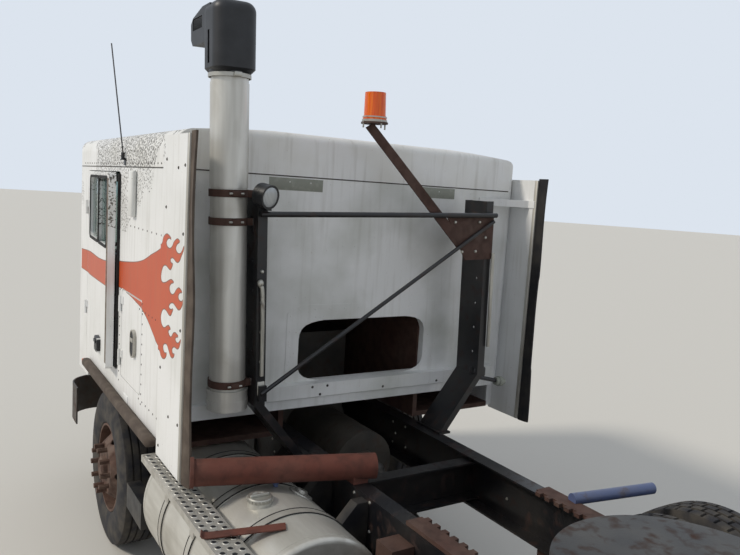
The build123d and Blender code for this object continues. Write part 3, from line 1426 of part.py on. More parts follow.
def seat():
    base_z = CAB_FLOOR_Z + FLOOR_T + SEAT
    stand = box(SEAT_X - 170, SEAT_X + 170, SEAT_Y - 190, SEAT_Y + 190, base_z, base_z + 300)
    cushion = box(SEAT_X - SEAT_HALF, SEAT_X + SEAT_HALF, SEAT_Y - 250, SEAT_Y + 230, base_z + 299, base_z + 430)
    side = (
        (SEAT_Y + 130, base_z + 420),
        (SEAT_Y + 240, base_z + 400),
        (SEAT_Y + 360, base_z + 1050),
        (SEAT_Y + 260, base_z + 1060),
    )
    return stand + cushion + plate_yz(side, SEAT_X - SEAT_HALF + 10, SEAT_X + SEAT_HALF - 10)


STEER_WHEEL_Y = -850.0
STEER_WHEEL_Z = 1800.0
STEER_WHEEL_R = 225.0
STEER_RIM_R = 15.0
STEER_BOSS_R = 45.0
SPOKE_W = 34.0
COLUMN_R = 28.0
COLUMN_LEN = 300.0
COLUMN_DEG = 55.0
DASH_Z0 = 1500.0
DASH_DEPTH = 270.0


def dashboard():
    """Dash across the cab over the tunnel, with the column, rim and spokes of the steering wheel."""
    front = CAB_FRONT_Y + CAB_WALL + SEAT
    reach = CAB_HALF - CAB_WALL - 60
    side = (
        (front, DASH_Z0),
        (front, SCREEN_Z0 - 20),
        (front + DASH_DEPTH - 70, SCREEN_Z0 - 10),
        (front + DASH_DEPTH, SCREEN_Z0 - 90),
        (front + DASH_DEPTH - 40, DASH_Z0),
    )
    dash = plate_yz(side, -reach, reach)
    dash &= cab_plan(CAB_WALL + SEAT, 0, BIG)
    wall = TUNNEL_HALF + FLOOR_T + SEAT
    dash -= box(-wall, wall, -BIG, BIG, 0, TUNNEL_TOP + FLOOR_T + SEAT)
    place = Pos(SEAT_X, STEER_WHEEL_Y, STEER_WHEEL_Z) * Rot(COLUMN_DEG - 90, 0, 0)
    spoke_t = STEER_RIM_R - 1
    rim_section = Plane.XZ * Pos(STEER_WHEEL_R, 0) * RegularPolygon(STEER_RIM_R, 8)
    wheel = revolve(rim_section, Axis.Z) + Cylinder(STEER_BOSS_R, STEER_BOSS_R)
    wheel += Box(2 * STEER_WHEEL_R, SPOKE_W, spoke_t) + Box(SPOKE_W, 2 * STEER_WHEEL_R, spoke_t)
    column = Pos(0, 0, -COLUMN_LEN / 2) * Cylinder(COLUMN_R, COLUMN_LEN)
    return dash + place * (wheel + column)


def bunk():
    reach = CAB_HALF - CAB_WALL - 12
    z0 = TUNNEL_TOP + FLOOR_T + SEAT
    return box(-reach, reach, BUNK_Y0 + 20, CAB_REAR_Y - CAB_WALL - 12, z0, z0 + 130)


ANTENNA_Y = 270.0
ANTENNA_Z = 2540.0
ANTENNA_RISE = 720.0
ANTENNA_RUN = -300.0
ANTENNA_LEAN = 15.0
ANTENNA_R = 4.0


def antenna():
    """Raked whip on a small bracket on the roof's side, just above the seam."""
    x0 = CAB_HALF + SEAT
    foot = box(x0, x0 + 6, ANTENNA_Y - 22, ANTENNA_Y + 22, ANTENNA_Z - 30, ANTENNA_Z + 12)
    foot += box(x0, x0 + 30, ANTENNA_Y - 14, ANTENNA_Y + 14, ANTENNA_Z, ANTENNA_Z + 6)
    x = x0 + 16
    foot += rod_z(11, ANTENNA_Z + 5, ANTENNA_Z + 45, x, ANTENNA_Y)
    start = Vector(x, ANTENNA_Y, ANTENNA_Z + 40)
    tip = Vector(x + ANTENNA_LEAN, ANTENNA_Y + ANTENNA_RUN, ANTENNA_Z + ANTENNA_RISE)
    return foot + bar(start, tip, ANTENNA_R)


write("cab_floor", cab_floor())
write_pair("side_wall", side_wall())
write("front_wall", front_wall())
write("windscreen", *windscreen())
write("grille", grille())
write("rear_wall", rear_wall())
roof = roof_form(0) - roof_form(ROOF_WALL)
roof &= box(-BIG, BIG, -BIG, BIG, CAB_SEAM_Z, 2 * BIG)
write("roof", roof)
left_edges = (LEFT_EXTENDER_Y1, LEFT_EXTENDER_Z1)
right_edges = (RIGHT_EXTENDER_Y1, RIGHT_EXTENDER_Z1)
write("extender_left", extender(*left_edges, LEFT_STAY_REACH))
write("extender_right", flip(extender(*right_edges, RIGHT_STAY_REACH)))
write("rubber_trims", edge_flap(*left_edges), flip(edge_flap(*right_edges)), flare(), flip(flare()))
write("headlamps", headlamp(), flip(headlamp()))
write("seats", seat(), flip(seat()))
write("dashboard", dashboard())
write("bunk", bunk())
write("antenna", antenna())
write("door_left", ajar(door()))
write("door_right", flip(door()))
write("door_glass_left", ajar(door_glass()))
write("door_glass_right", flip(door_glass()))
write_pair("luggage_door", luggage_door())
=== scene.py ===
"""Finish, tread, trim, wiring and studio for a cab-over semi truck tractor with a sleeper.

Metres, +Z up. The truck faces -Y and its left side is +X; the origin is on the ground at the
middle of the vehicle. Places marked "from the axle" have Y = 0 at the front axle.
"""
import math

import bmesh
import bpy
import numpy as np
from mathutils import Matrix, Vector
from mathutils.geometry import delaunay_2d_cdt


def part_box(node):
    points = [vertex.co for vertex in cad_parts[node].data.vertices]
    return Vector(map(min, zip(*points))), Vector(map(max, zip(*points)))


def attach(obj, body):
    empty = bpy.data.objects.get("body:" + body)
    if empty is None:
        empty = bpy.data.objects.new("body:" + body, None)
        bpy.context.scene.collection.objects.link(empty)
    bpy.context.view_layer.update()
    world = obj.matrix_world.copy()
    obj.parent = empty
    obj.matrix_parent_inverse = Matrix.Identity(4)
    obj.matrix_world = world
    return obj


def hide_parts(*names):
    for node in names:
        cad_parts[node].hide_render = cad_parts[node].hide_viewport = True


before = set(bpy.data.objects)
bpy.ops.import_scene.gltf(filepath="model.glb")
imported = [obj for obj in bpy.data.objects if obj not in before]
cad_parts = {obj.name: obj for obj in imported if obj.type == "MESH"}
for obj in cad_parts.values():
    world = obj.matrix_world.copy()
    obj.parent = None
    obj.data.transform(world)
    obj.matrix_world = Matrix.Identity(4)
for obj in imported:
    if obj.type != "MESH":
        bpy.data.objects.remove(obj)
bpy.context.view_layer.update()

bl_info = {
    "name": "Cab-over tractor finish",
    "version": (1, 0, 0),
    "blender": (4, 5, 0),
    "location": "View3D > Sidebar > Tractor",
    "description": "Dresses the packed frame of a cab-over tractor and sets up its studio",
    "category": "Object",
}

TYRE_LOW, TYRE_HIGH = (np.array(corner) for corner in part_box("tyre_front_left"))
AXLE_Y = float(TYRE_LOW[1] + TYRE_HIGH[1]) / 2
TYRE_RADIUS = float(TYRE_HIGH[2] - TYRE_LOW[2]) / 2
TYRE_WIDTH = float(TYRE_HIGH[0] - TYRE_LOW[0])
CAB_SIDE_X = float(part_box("rear_wall")[1][0])
CAB_REAR_Y = float(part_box("cab_floor")[1][1]) + 0.0453
SEAM_Z = float(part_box("roof")[0][2])

LEFT, RIGHT = 1, -1
SIDES = (("left", LEFT), ("right", RIGHT))
X_AXIS = np.array((1.0, 0.0, 0.0))
Y_AXIS = np.array((0.0, 1.0, 0.0))
Z_AXIS = np.array((0.0, 0.0, 1.0))


def from_axle(x, y, z):
    """Point given with Y measured from the front axle, in the frame's own metres."""
    return np.array((x, y + AXLE_Y, z))


RACK_LEAN = math.radians(1.8)
RACK_FOOT_Z = 1.05
DOOR_AJAR = math.radians(4.0)
DOOR_HINGE = from_axle(1.132, -0.863, 0.0)


# Surfaces. A surface is a pair: an array of points and an array of quads that index them.


def grid_quads(rows, columns, wrap_rows=False, wrap_columns=False):
    """Quad (i, j) joins rows i and i+1 with columns j and j+1, round the ends where wrapped."""
    i = np.arange(rows if wrap_rows else rows - 1)[:, None]
    j = np.arange(columns if wrap_columns else columns - 1)[None, :]
    down, right = (i + 1) % rows, (j + 1) % columns
    corners = (i * columns + j, down * columns + j, down * columns + right, i * columns + right)
    return np.stack([np.broadcast_to(c, (i.size, j.size)) for c in corners], -1).reshape(-1, 4)


def side_directions(axis):
    """Two unit directions square to an axis and to each other."""
    axis = np.asarray(axis, float) / np.linalg.norm(axis)
    helper = Z_AXIS if abs(axis[2]) < 0.9 else X_AXIS
    first = np.cross(helper, axis)
    first /= np.linalg.norm(first)
    return axis, first, np.cross(axis, first)


def turned(profile, centre, axis, steps=32):
    """Profile of (along, radius) turned about A: centre + along*A + radius*(cos t*B + sin t*C)."""
    axis, first, second = side_directions(axis)
    along, radius = np.asarray(profile, float).T
    turn = np.linspace(0, 2 * math.pi, steps, endpoint=False)
    spokes = np.cos(turn)[:, None] * first + np.sin(turn)[:, None] * second
    points = centre + along[:, None, None] * axis + radius[:, None, None] * spokes[None]
    return points.reshape(-1, 3), grid_quads(len(along), steps, wrap_columns=True)


def tube(path, radius, sides=12):
    """Circle of the given radius carried square to a path, its ends drawn in to a point."""
    path = np.asarray(path, float)
    along = np.gradient(path, axis=0)
    along /= np.linalg.norm(along, axis=1)[:, None]
    first = np.cross(along, Z_AXIS + 0.013 * X_AXIS)  # a direction that no path here runs along
    first /= np.linalg.norm(first, axis=1)[:, None]
    second = np.cross(along, first)
    turn = np.linspace(0, 2 * math.pi, sides, endpoint=False)
    ring = np.cos(turn)[:, None] * first[:, None] + np.sin(turn)[:, None] * second[:, None]
    size = np.broadcast_to(np.asarray(radius, float), (len(path),)).copy()
    rows = path[:, None] + size[:, None, None] * ring
    ends = np.broadcast_to(path[0], (1, sides, 3)), np.broadcast_to(path[-1], (1, sides, 3))
    points = np.concatenate([ends[0], rows, ends[1]])
    return points.reshape(-1, 3), grid_quads(len(points), sides, wrap_columns=True)


def smooth_path(places, count):
    """Catmull-Rom curve through places from the axle: four of them set each span's cubic."""
    points = np.array([from_axle(*place) for place in places])
    padded = np.concatenate([[2 * points[0] - points[1]], points, [2 * points[-1] - points[-2]]])
    place = np.linspace(0, len(points) - 1 - 1e-9, count)
    span = place.astype(int)
    t = (place - span)[:, None]
    a, b, c, d = (padded[span + k] for k in range(4))
    return 0.5 * (
        2 * b + (c - a) * t + (2 * a - 5 * b + 4 * c - d) * t**2 + (3 * b - a - 3 * c + d) * t**3
    )


def rounded_outline(width, height, radius, steps=6):
    """Rounded rectangle about the origin: four quarter circles joined by straight runs."""
    radius = min(radius, width / 2, height / 2)
    turn = np.concatenate(
        [np.linspace(q * math.pi / 2, (q + 1) * math.pi / 2, steps) for q in range(4)]
    )
    corner = np.repeat([(1, 1), (-1, 1), (-1, -1), (1, -1)], steps, axis=0)
    middle = corner * (width / 2 - radius, height / 2 - radius)
    return middle + radius * np.stack([np.cos(turn), np.sin(turn)], -1)


def raised_form(outline, centre, across, up, levels):
    """Outline lofted along N: each (height, scale) level is centre + scale*outline + height*N."""
    across, up = np.asarray(across, float), np.asarray(up, float)
    normal = np.cross(across, up)
    flat = outline[:, :1] * across + outline[:, 1:] * up
    rings = [np.broadcast_to(centre + levels[0][0] * normal, flat.shape)]
    rings += [centre + scale * flat + height * normal for height, scale in levels]
    rings += [np.broadcast_to(centre + levels[-1][0] * normal, flat.shape)]
    points = np.array(rings)
    return points.reshape(-1, 3), grid_quads(len(points), len(outline), wrap_columns=True)


def rounded_block(low, high, radius):
    """Block between two corners: a rounded rectangle lofted upwards, drawn in at both ends."""
    low, high = np.minimum(low, high), np.maximum(low, high)
    size = high - low
    radius = min(radius, size.min() * 0.45)
    outline = rounded_outline(size[0], size[1], radius * 1.5, 4)
    rise = np.array([0.0, 0.3, 1.0])
    inset = radius * np.array([1.0, 0.3, 0.0])
    heights = np.concatenate([radius * rise, size[2] - radius * rise[::-1]])
    insets = np.concatenate([inset, inset[::-1]])
    shrink = 1 - 2 * insets[:, None] / size[:2]
    base = np.array(((low[0] + high[0]) / 2, (low[1] + high[1]) / 2, low[2]))
    rings = np.empty((len(heights), len(outline), 3))
    rings[:, :, :2] = outline[None] * shrink[:, None]
    rings[:, :, 2] = heights[:, None]
    cap = np.zeros((1, len(outline), 3))
    top = cap + (0, 0, size[2])
    points = base + np.concatenate([cap, rings, top])
    return points.reshape(-1, 3), grid_quads(len(points), len(outline), wrap_columns=True)


def block(low, high, radius):
    """Rounded block between two corners that are given from the axle."""
    return rounded_block(from_axle(*low), from_axle(*high), radius)


def block_at(place, low, high, radius):
    """Rounded block between two corners that are given from a place."""
    return rounded_block(place + low, place + high, radius)


def frame_ring(outer, inner, centre, across, up, thickness):
    """Flat ring of the given thickness between two outlines with as many points each."""
    across, up = np.asarray(across, float), np.asarray(up, float)
    normal = np.cross(across, up)
    rings = []
    for outline, height in ((outer, 0), (outer, thickness), (inner, thickness), (inner, 0)):
        rings.append(centre + outline[:, :1] * across + outline[:, 1:] * up + height * normal)
    points = np.array(rings)
    return points.reshape(-1, 3), grid_quads(4, len(outer), wrap_rows=True, wrap_columns=True)


def scattered(surface, places):
    """The same small surface at every place: one copy of its points shifted by each place."""
    points, quads = surface
    places = np.asarray(places, float).reshape(-1, 3)
    copies = (places[:, None] + points[None]).reshape(-1, 3)
    offset = np.arange(len(places))[:, None, None] * len(points)
    return copies, (quads[None] + offset).reshape(-1, 4)


def line_of(start, end, count):
    """Evenly spaced points from start to end."""
    return np.linspace(np.asarray(start, float), np.asarray(end, float), count)


def mirrored(surface):
    """The same surface on the truck's right side: X changes sign and each quad is turned over."""
    points, quads = surface
    return points * (-1, 1, 1), quads[:, ::-1]


def on_side(surface, side):
    """The surface as it is for the left side, or mirrored for the right side."""
    return surface if side == LEFT else mirrored(surface)


def leaned(surface):
    """Tilted left with the rack by a: x' = x cos a + h sin a, h' = h cos a - x sin a."""
    points, quads = surface
    x, height = points[:, 0], points[:, 2] - RACK_FOOT_Z
    new_x = x * math.cos(RACK_LEAN) + height * math.sin(RACK_LEAN)
    new_z = RACK_FOOT_Z + height * math.cos(RACK_LEAN) - x * math.sin(RACK_LEAN)
    return np.stack([new_x, points[:, 1], new_z], -1), quads


def on_door(surface, side):
    """Mirrored on the right door; on the left one turned about its hinge, as it stands ajar."""
    if side == RIGHT:
        return mirrored(surface)
    points, quads = surface
    x, y = points[:, 0] - DOOR_HINGE[0], points[:, 1] - DOOR_HINGE[1]
    new_x = x * math.cos(DOOR_AJAR) + y * math.sin(DOOR_AJAR) + DOOR_HINGE[0]
    new_y = y * math.cos(DOOR_AJAR) - x * math.sin(DOOR_AJAR) + DOOR_HINGE[1]
    return np.stack([new_x, new_y, points[:, 2]], -1), quads


def strip(path, across, width, thickness):
    """Flat bar on a path: corners half a width across and half a thickness square to that."""
    path, across = np.asarray(path, float), np.asarray(across, float)
    along = np.gradient(path, axis=0)
    normal = np.cross(along, across)
    normal /= np.linalg.norm(normal, axis=1)[:, None]
    rows = [
        path + w * width / 2 * across + t * thickness / 2 * normal
        for w, t in ((1, 1), (-1, 1), (-1, -1), (1, -1))
    ]
    rows = np.stack(rows, axis=1)
    ends = np.broadcast_to(path[0], (1, 4, 3)), np.broadcast_to(path[-1], (1, 4, 3))
    points = np.concatenate([ends[0], rows, ends[1]])
    return points.reshape(-1, 3), grid_quads(len(points), 4, wrap_columns=True)


def hoop(inner, outer, start, end, centre, axis, steps=40):
    """Round band: a rectangle between two radii and two places along the axis, turned about it."""
    profile = ((start, inner), (start, outer), (end, outer), (end, inner), (start, inner))
    return turned(profile, np.asarray(centre, float), axis, steps)


def cushion(low, high, crown, seams, across):
    """Stuffed block: each face swells by crown*(1-u^2)*(1-v^2), and narrow seams run across it.

    The block is a cube of grid cells pushed out to a superellipsoid of power 6 first, which rounds
    its edges; u and v are the place on a face from -1 to 1.
    """
    low, high = np.asarray(low, float), np.asarray(high, float)
    steps, seam_width = 26, 0.006
    turn = np.linspace(-math.pi, math.pi, 4 * steps, endpoint=False)
    tilt = np.linspace(-math.pi / 2, math.pi / 2, 2 * steps)

    def root(value):
        return np.sign(value) * np.abs(value) ** (1 / 3)

    x = root(np.cos(tilt))[:, None] * root(np.cos(turn))[None]
    y = root(np.cos(tilt))[:, None] * root(np.sin(turn))[None]
    z = np.broadcast_to(root(np.sin(tilt))[:, None], x.shape)
    unit = np.stack([x, y, z], -1)
    square = np.clip(1 - unit**2, 0, 1)
    sx, sy, sz = np.moveaxis(square, -1, 0)
    swell = np.stack([sy * sz, sx * sz, sx * sy], -1)
    half = (high - low) / 2 - crown
    points = (low + high) / 2 + unit * (half + crown * swell)
    place = unit[..., across]
    for seam in seams:
        groove = np.exp(-(((place - seam) * half[across]) / seam_width) ** 2)
        points = points - unit * seam_width * groove[..., None]
    return points.reshape(-1, 3), grid_quads(len(tilt), len(turn), wrap_columns=True)


def welded(surface):
    """Coincident points made one, and quads with a corner fewer made triangles."""
    points, quads = surface
    keys = np.round(points * 1e6).astype(np.int64)
    _, first, index = np.unique(keys, axis=0, return_index=True, return_inverse=True)
    quads = index.reshape(-1)[quads]
    same = quads == np.roll(quads, -1, axis=1)
    whole = quads[~same.any(1)].tolist()
    for corner in range(4):
        rows = same[:, corner] & (same.sum(1) == 1)
        whole += np.delete(quads[rows], corner, axis=1).tolist()
    return points[first], whole


FINISHES = {}


def piece(name, surfaces, finish, body, edge_angle=35.0):
    """Object at the origin made of closed surfaces, its faces outwards, riding on a body."""
    points, faces, offset = [], [], 0
    for surface in surfaces:
        part, part_faces = welded(surface)
        points.append(part)
        faces += [[corner + offset for corner in face] for face in part_faces]
        offset += len(part)
    mesh = bpy.data.meshes.new(name)
    mesh.from_pydata(np.concatenate(points).tolist(), [], faces)
    form = bmesh.new()
    form.from_mesh(mesh)
    bmesh.ops.recalc_face_normals(form, faces=form.faces)
    form.to_mesh(mesh)
    form.free()
    mesh.shade_smooth()
    mesh.set_sharp_from_angle(angle=math.radians(edge_angle))
    mesh.materials.append(FINISHES[finish])
    made = bpy.data.objects.new(name, mesh)
    bpy.context.scene.collection.objects.link(made)
    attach(made, body)
    return made


# Finishes. Each is named for the real material, and for painted shade where it carries some; its
# patterns are sized in millimetres.

MIX_FACTOR, MIX_A, MIX_B, MIX_RESULT = 0, 6, 7, 2
MM = 1000.0


def linear(hex_colour):
    """sRGB hex colour as linear RGBA."""
    value = np.array([int(hex_colour[k : k + 2], 16) for k in (1, 3, 5)]) / 255
    value = np.where(value <= 0.04045, value / 12.92, ((value + 0.055) / 1.055) ** 2.4)
    return (*value.tolist(), 1.0)


def set_inputs(tree, node, sockets):
    """Link each named input to its socket, or give it its value."""
    for name, value in sockets.items():
        if isinstance(value, bpy.types.NodeSocket):
            tree.links.new(value, node.inputs[name])
        else:
            node.inputs[name].default_value = value


def add_node(tree, kind, sockets=None, stops=None, **settings):
    """Add a node, set its attributes, its colour stops, and link or set each named input."""
    node = tree.nodes.new(kind)
    for name, value in settings.items():
        setattr(node, name, value)
    set_inputs(tree, node, sockets or {})
    if stops:
        ramp = node.color_ramp
        while len(ramp.elements) < len(stops):
            ramp.elements.new(0.5)
        for element, (place, colour) in zip(ramp.elements, stops):
            element.position = place
            element.color = colour
    return node


def blank(name):
    """New material with its shader, and its Object coordinates measured from the front axle."""
    material = bpy.data.materials.new(name)
    material.use_nodes = True
    tree = material.node_tree
    shader = tree.nodes["Principled BSDF"]
    coordinates = add_node(tree, "ShaderNodeTexCoord").outputs["Object"]
    shift = add_node(
        tree, "ShaderNodeMapping", {"Vector": coordinates, "Location": (0, -AXLE_Y, 0)}
    )
    return material, tree, shader, shift.outputs["Vector"]


BLACK, WHITE = (0, 0, 0, 1), (1, 1, 1, 1)


def patches(tree, place, size_mm, low, high, detail=4.0, distortion=0.0, stretch=(1, 1, 1)):
    """Mask of irregular patches about size_mm across: noise cut off between two levels."""
    spot = add_node(
        tree, "ShaderNodeMapping", {"Vector": place, "Scale": stretch}
    ).outputs["Vector"]
    grain = {"Vector": spot, "Scale": MM / size_mm, "Detail": detail, "Distortion": distortion}
    noise = add_node(tree, "ShaderNodeTexNoise", grain).outputs["Fac"]
    stops = ((low, BLACK), (high, WHITE))
    return add_node(tree, "ShaderNodeValToRGB", {"Fac": noise}, stops=stops).outputs["Color"]


def tinted(tree, factor, below, above):
    """Colour that runs from below to above with the factor; each is a hex colour or a socket."""
    colours = {}
    for socket, colour in ((MIX_A, below), (MIX_B, above)):
        colours[socket] = linear(colour) if isinstance(colour, str) else colour
    node = add_node(tree, "ShaderNodeMix", {MIX_FACTOR: factor, **colours}, data_type="RGBA")
    return node.outputs[MIX_RESULT]


def maths(tree, operation, first, second=0.0):
    """One sum on two values."""
    return add_node(tree, "ShaderNodeMath", {0: first, 1: second}, operation=operation).outputs[0]


def roughened(tree, shader, height, depth_mm, strength=0.6):
    """Bump from a height mask, as deep as the real relief."""
    bump = add_node(
        tree, "ShaderNodeBump", {"Height": height, "Distance": depth_mm / MM, "Strength": strength}
    )
    tree.links.new(bump.outputs["Normal"], shader.inputs["Normal"])


# Hot-rod flames: the outline of their film seen from the left, as (y from the axle, z).
FLAME_OUTLINE = (
    (-1.1, 1.862), (-0.25, 1.885), (0.12, 1.908), (0.42, 1.937), (0.605, 1.96), (0.754, 1.989),
    (0.893, 2.032), (1.008, 2.063), (1.101, 2.093), (1.198, 2.12), (1.216, 2.144), (1.234, 2.162),
    (1.275, 2.177), (1.318, 2.174), (1.355, 2.16), (1.327, 2.164), (1.293, 2.155), (1.275, 2.137),
    (1.29, 2.118), (1.325, 2.111), (1.356, 2.116), (1.381, 2.13), (1.398, 2.147), (1.429, 2.162),
    (1.46, 2.169), (1.49, 2.16), (1.463, 2.152), (1.437, 2.136), (1.432, 2.118), (1.456, 2.104),
    (1.491, 2.102), (1.521, 2.113), (1.543, 2.133), (1.556, 2.146), (1.549, 2.126), (1.523, 2.101),
    (1.503, 2.079), (1.472, 2.063), (1.439, 2.064), (1.404, 2.074), (1.377, 2.075), (1.353, 2.066),
    (1.353, 2.051), (1.372, 2.044), (1.389, 2.045), (1.378, 2.029), (1.353, 2.013), (1.321, 2.018),
    (1.286, 2.026), (1.254, 2.024), (1.224, 2.01), (1.203, 1.981), (1.197, 1.954), (1.21, 1.936),
    (1.242, 1.931), (1.295, 1.942), (1.335, 1.956), (1.378, 1.966), (1.414, 1.959), (1.384, 1.953),
    (1.355, 1.938), (1.348, 1.918), (1.366, 1.9), (1.398, 1.896), (1.429, 1.906), (1.45, 1.922),
    (1.471, 1.935), (1.499, 1.944), (1.525, 1.94), (1.545, 1.932), (1.515, 1.926), (1.493, 1.911),
    (1.494, 1.894), (1.515, 1.886), (1.547, 1.887), (1.57, 1.903), (1.56, 1.881), (1.541, 1.86),
    (1.513, 1.845), (1.484, 1.845), (1.448, 1.855), (1.42, 1.861), (1.387, 1.858), (1.357, 1.845),
    (1.346, 1.831), (1.358, 1.822), (1.386, 1.821), (1.415, 1.83), (1.401, 1.813), (1.377, 1.793),
    (1.346, 1.794), (1.311, 1.805), (1.267, 1.808), (1.236, 1.793), (1.216, 1.768), (1.214, 1.745),
    (1.23, 1.722), (1.262, 1.71), (1.291, 1.714), (1.318, 1.726), (1.352, 1.737), (1.382, 1.727),
    (1.358, 1.72), (1.35, 1.707), (1.364, 1.693), (1.393, 1.687), (1.414, 1.699), (1.432, 1.715),
    (1.463, 1.724), (1.491, 1.72), (1.509, 1.716), (1.48, 1.709), (1.464, 1.696), (1.48, 1.682),
    (1.511, 1.683), (1.534, 1.697), (1.548, 1.71), (1.542, 1.69), (1.52, 1.664), (1.494, 1.656),
    (1.462, 1.657), (1.436, 1.651), (1.418, 1.636), (1.423, 1.62), (1.442, 1.615), (1.458, 1.62),
    (1.444, 1.602), (1.418, 1.595), (1.393, 1.6), (1.368, 1.618), (1.348, 1.633), (1.325, 1.641),
    (1.293, 1.637), (1.27, 1.623), (1.269, 1.605), (1.286, 1.592), (1.305, 1.588), (1.329, 1.595),
    (1.322, 1.578), (1.295, 1.561), (1.259, 1.556), (1.227, 1.566), (1.2, 1.585), (1.062, 1.579),
    (1.001, 1.605), (0.93, 1.638), (0.856, 1.671), (0.772, 1.699), (0.695, 1.718), (0.585, 1.73),
    (0.42, 1.746), (0.13, 1.754), (-0.25, 1.735), (-1.1, 1.717),
)
WALL_X, EXTENDER_X, EXTENDER_FRONT = 1.120, 1.150, 1.180
PANELS_SEEN = (  # body, x of the face, y and z ranges of each panel that the film lies on
    ("cab", WALL_X, (-1.110, -0.868), (1.2, 2.4)),
    ("door", WALL_X, (-0.858, 0.148), (1.2, 2.4)),
    ("luggage_door", WALL_X, (0.252, 0.718), (1.2, 1.746)),
    ("cab", WALL_X, (0.158, 0.242), (1.2, 2.4)),
    ("cab", WALL_X, (0.242, 0.728), (1.756, 2.4)),
    ("cab", WALL_X, (0.728, EXTENDER_FRONT), (1.2, 2.4)),
    ("extender", EXTENDER_X, (EXTENDER_FRONT, 1.600), (1.2, 2.4)),
)
FILM_CUTS = (
    (Y_AXIS, (-0.868, -0.858, 0.148, 0.158, 0.242, 0.252, 0.718, 0.728, EXTENDER_FRONT)),
    (Z_AXIS, (1.746, 1.756)),
)
RIGHT_FILM_SHARE = 0.69  # the right extender is shorter, and its flames with it
STRIPE_WIDTH, STRIPE_PITCH = 0.0045, 0.006
STRIPE_HEIGHT, FLAME_HEIGHT = 0.0005, 0.0009  # how far each film stands proud of its panel
FLAKES_END = 1.215  # the rear wall and the roof's rear face kept their coat


def cab_enamel(name, streak_share, peel_low, shade):
    """Old white enamel: yellowing in patches, which on the rear copy are darker and painted shade;
    streaked from above, peeled in small grey flakes.
    """
    looks = bpy.context.scene.tractor_finish
    material, tree, shader, place = blank(name)
    # Patches towards the shade colour: yellowing enamel, and on the rear copy also painted shade,
    # its shade colour a darker grey.
    yellowing_and_shade = patches(tree, place, 420, 0.42, 0.70, detail=6)
    colour = tinted(tree, yellowing_and_shade, (*looks.cab_white, 1.0), shade)
    streaks = patches(tree, place, 34, 0.52, 0.78, detail=5, stretch=(1, 1, 0.07))
    faded = maths(tree, "MULTIPLY", streaks, streak_share)
    colour = tinted(tree, faded, colour, "#8F897B")
    flakes = patches(tree, place, 13, peel_low, peel_low + 0.02, detail=5, distortion=0.4)
    height = add_node(tree, "ShaderNodeSeparateXYZ", {"Vector": place}).outputs["Z"]
    rise = {"Value": height, "From Min": 1.9, "From Max": 2.5, "To Min": 0.0, "To Max": 1.0}
    upper = add_node(tree, "ShaderNodeMapRange", rise).outputs["Result"]
    regions = patches(tree, place, 900, 0.34, 0.52)
    along = add_node(tree, "ShaderNodeSeparateXYZ", {"Vector": place}).outputs["Y"]
    regions = maths(tree, "MULTIPLY", regions, maths(tree, "LESS_THAN", along, FLAKES_END))
    flakes = maths(tree, "MULTIPLY", flakes, maths(tree, "MULTIPLY", upper, regions))
    flakes = maths(tree, "GREATER_THAN", flakes, 0.35)
    colour = tinted(tree, flakes, colour, "#5B574F")
    rust = patches(tree, place, 9, 0.735, 0.75, detail=3)
    colour = tinted(tree, maths(tree, "MULTIPLY", rust, 0.8), colour, "#7A4B32")
    coat = {"Base Color": colour, "Roughness": 0.48, "Coat Weight": 0.12, "Coat Roughness": 0.35}
    set_inputs(tree, shader, coat)
    roughened(tree, shader, maths(tree, "SUBTRACT", 1.0, flakes), 0.6, 0.5)
    return material


def painted_film(name, paint, faded):
    """Sign-writer's film: bleached in patches, streaked from above, crazed 12 mm fine."""
    material, tree, shader, place = blank(name)
    bleached = maths(tree, "MULTIPLY", patches(tree, place, 260, 0.38, 0.70, detail=6), faded)
    base = tinted(tree, bleached, (*paint, 1.0), "#C4663F")
    streaks = patches(tree, place, 30, 0.52, 0.80, detail=5, stretch=(1, 1, 0.07))
    colour = tinted(tree, maths(tree, "MULTIPLY", streaks, 0.22), base, "#8A6A5C")
    crazed = patches(tree, place, 12, 0.40, 0.60, detail=3)
    set_inputs(tree, shader, {"Base Color": colour, "Roughness": 0.42})
    roughened(tree, shader, crazed, 0.05, 0.3)
    return material


def worn_steel(name, paint, rust, rust_share, rust_low, gloss, metal=0.0, dust=0.35):
    """Painted or bare steel left outdoors: its coat breaks into rust in patches, finely pitted."""
    material, tree, shader, place = blank(name)
    broken = patches(tree, place, 60, rust_low, rust_low + rust_share, detail=8, distortion=0.3)
    pitting = patches(tree, place, 5, 0.35, 0.70, detail=3)
    rusty = tinted(tree, pitting, rust, "#3B241B")
    dusty = patches(tree, place, 180, 0.35, 0.75, detail=6)
    coat = tinted(tree, maths(tree, "MULTIPLY", dusty, dust), paint, "#6E675C")
    colour = tinted(tree, broken, coat, rusty)
    rough = maths(tree, "ADD", maths(tree, "MULTIPLY", broken, 0.88 - gloss), gloss)
    set_inputs(tree, shader, {"Base Color": colour, "Roughness": rough, "Metallic": metal})
    roughened(tree, shader, pitting, 0.4, 0.5)
    return material


def weathered_aluminium(name, bright, dull, stretch=(1, 1, 1)):
    """Mill-finish aluminium, chalked by weather: long soft streaks over a fine brushed grain."""
    material, tree, shader, place = blank(name)
    streaks = patches(tree, place, 60, 0.30, 0.72, detail=6, stretch=stretch)
    stains = patches(tree, place, 240, 0.48, 0.72, detail=7, distortion=0.6)
    colour = tinted(tree, streaks, bright, dull)
    colour = tinted(tree, maths(tree, "MULTIPLY", stains, 0.35), colour, "#8D877A")
    grain = patches(tree, place, 2.5, 0.3, 0.7, detail=2, stretch=stretch)
    rough = maths(tree, "ADD", maths(tree, "MULTIPLY", streaks, 0.18), 0.38)
    set_inputs(tree, shader, {"Base Color": colour, "Roughness": rough, "Metallic": 0.55})
    roughened(tree, shader, grain, 0.05, 0.35)
    return material


DECK_FROM_X, DECK_FROM_Y = 1.06, 1.095


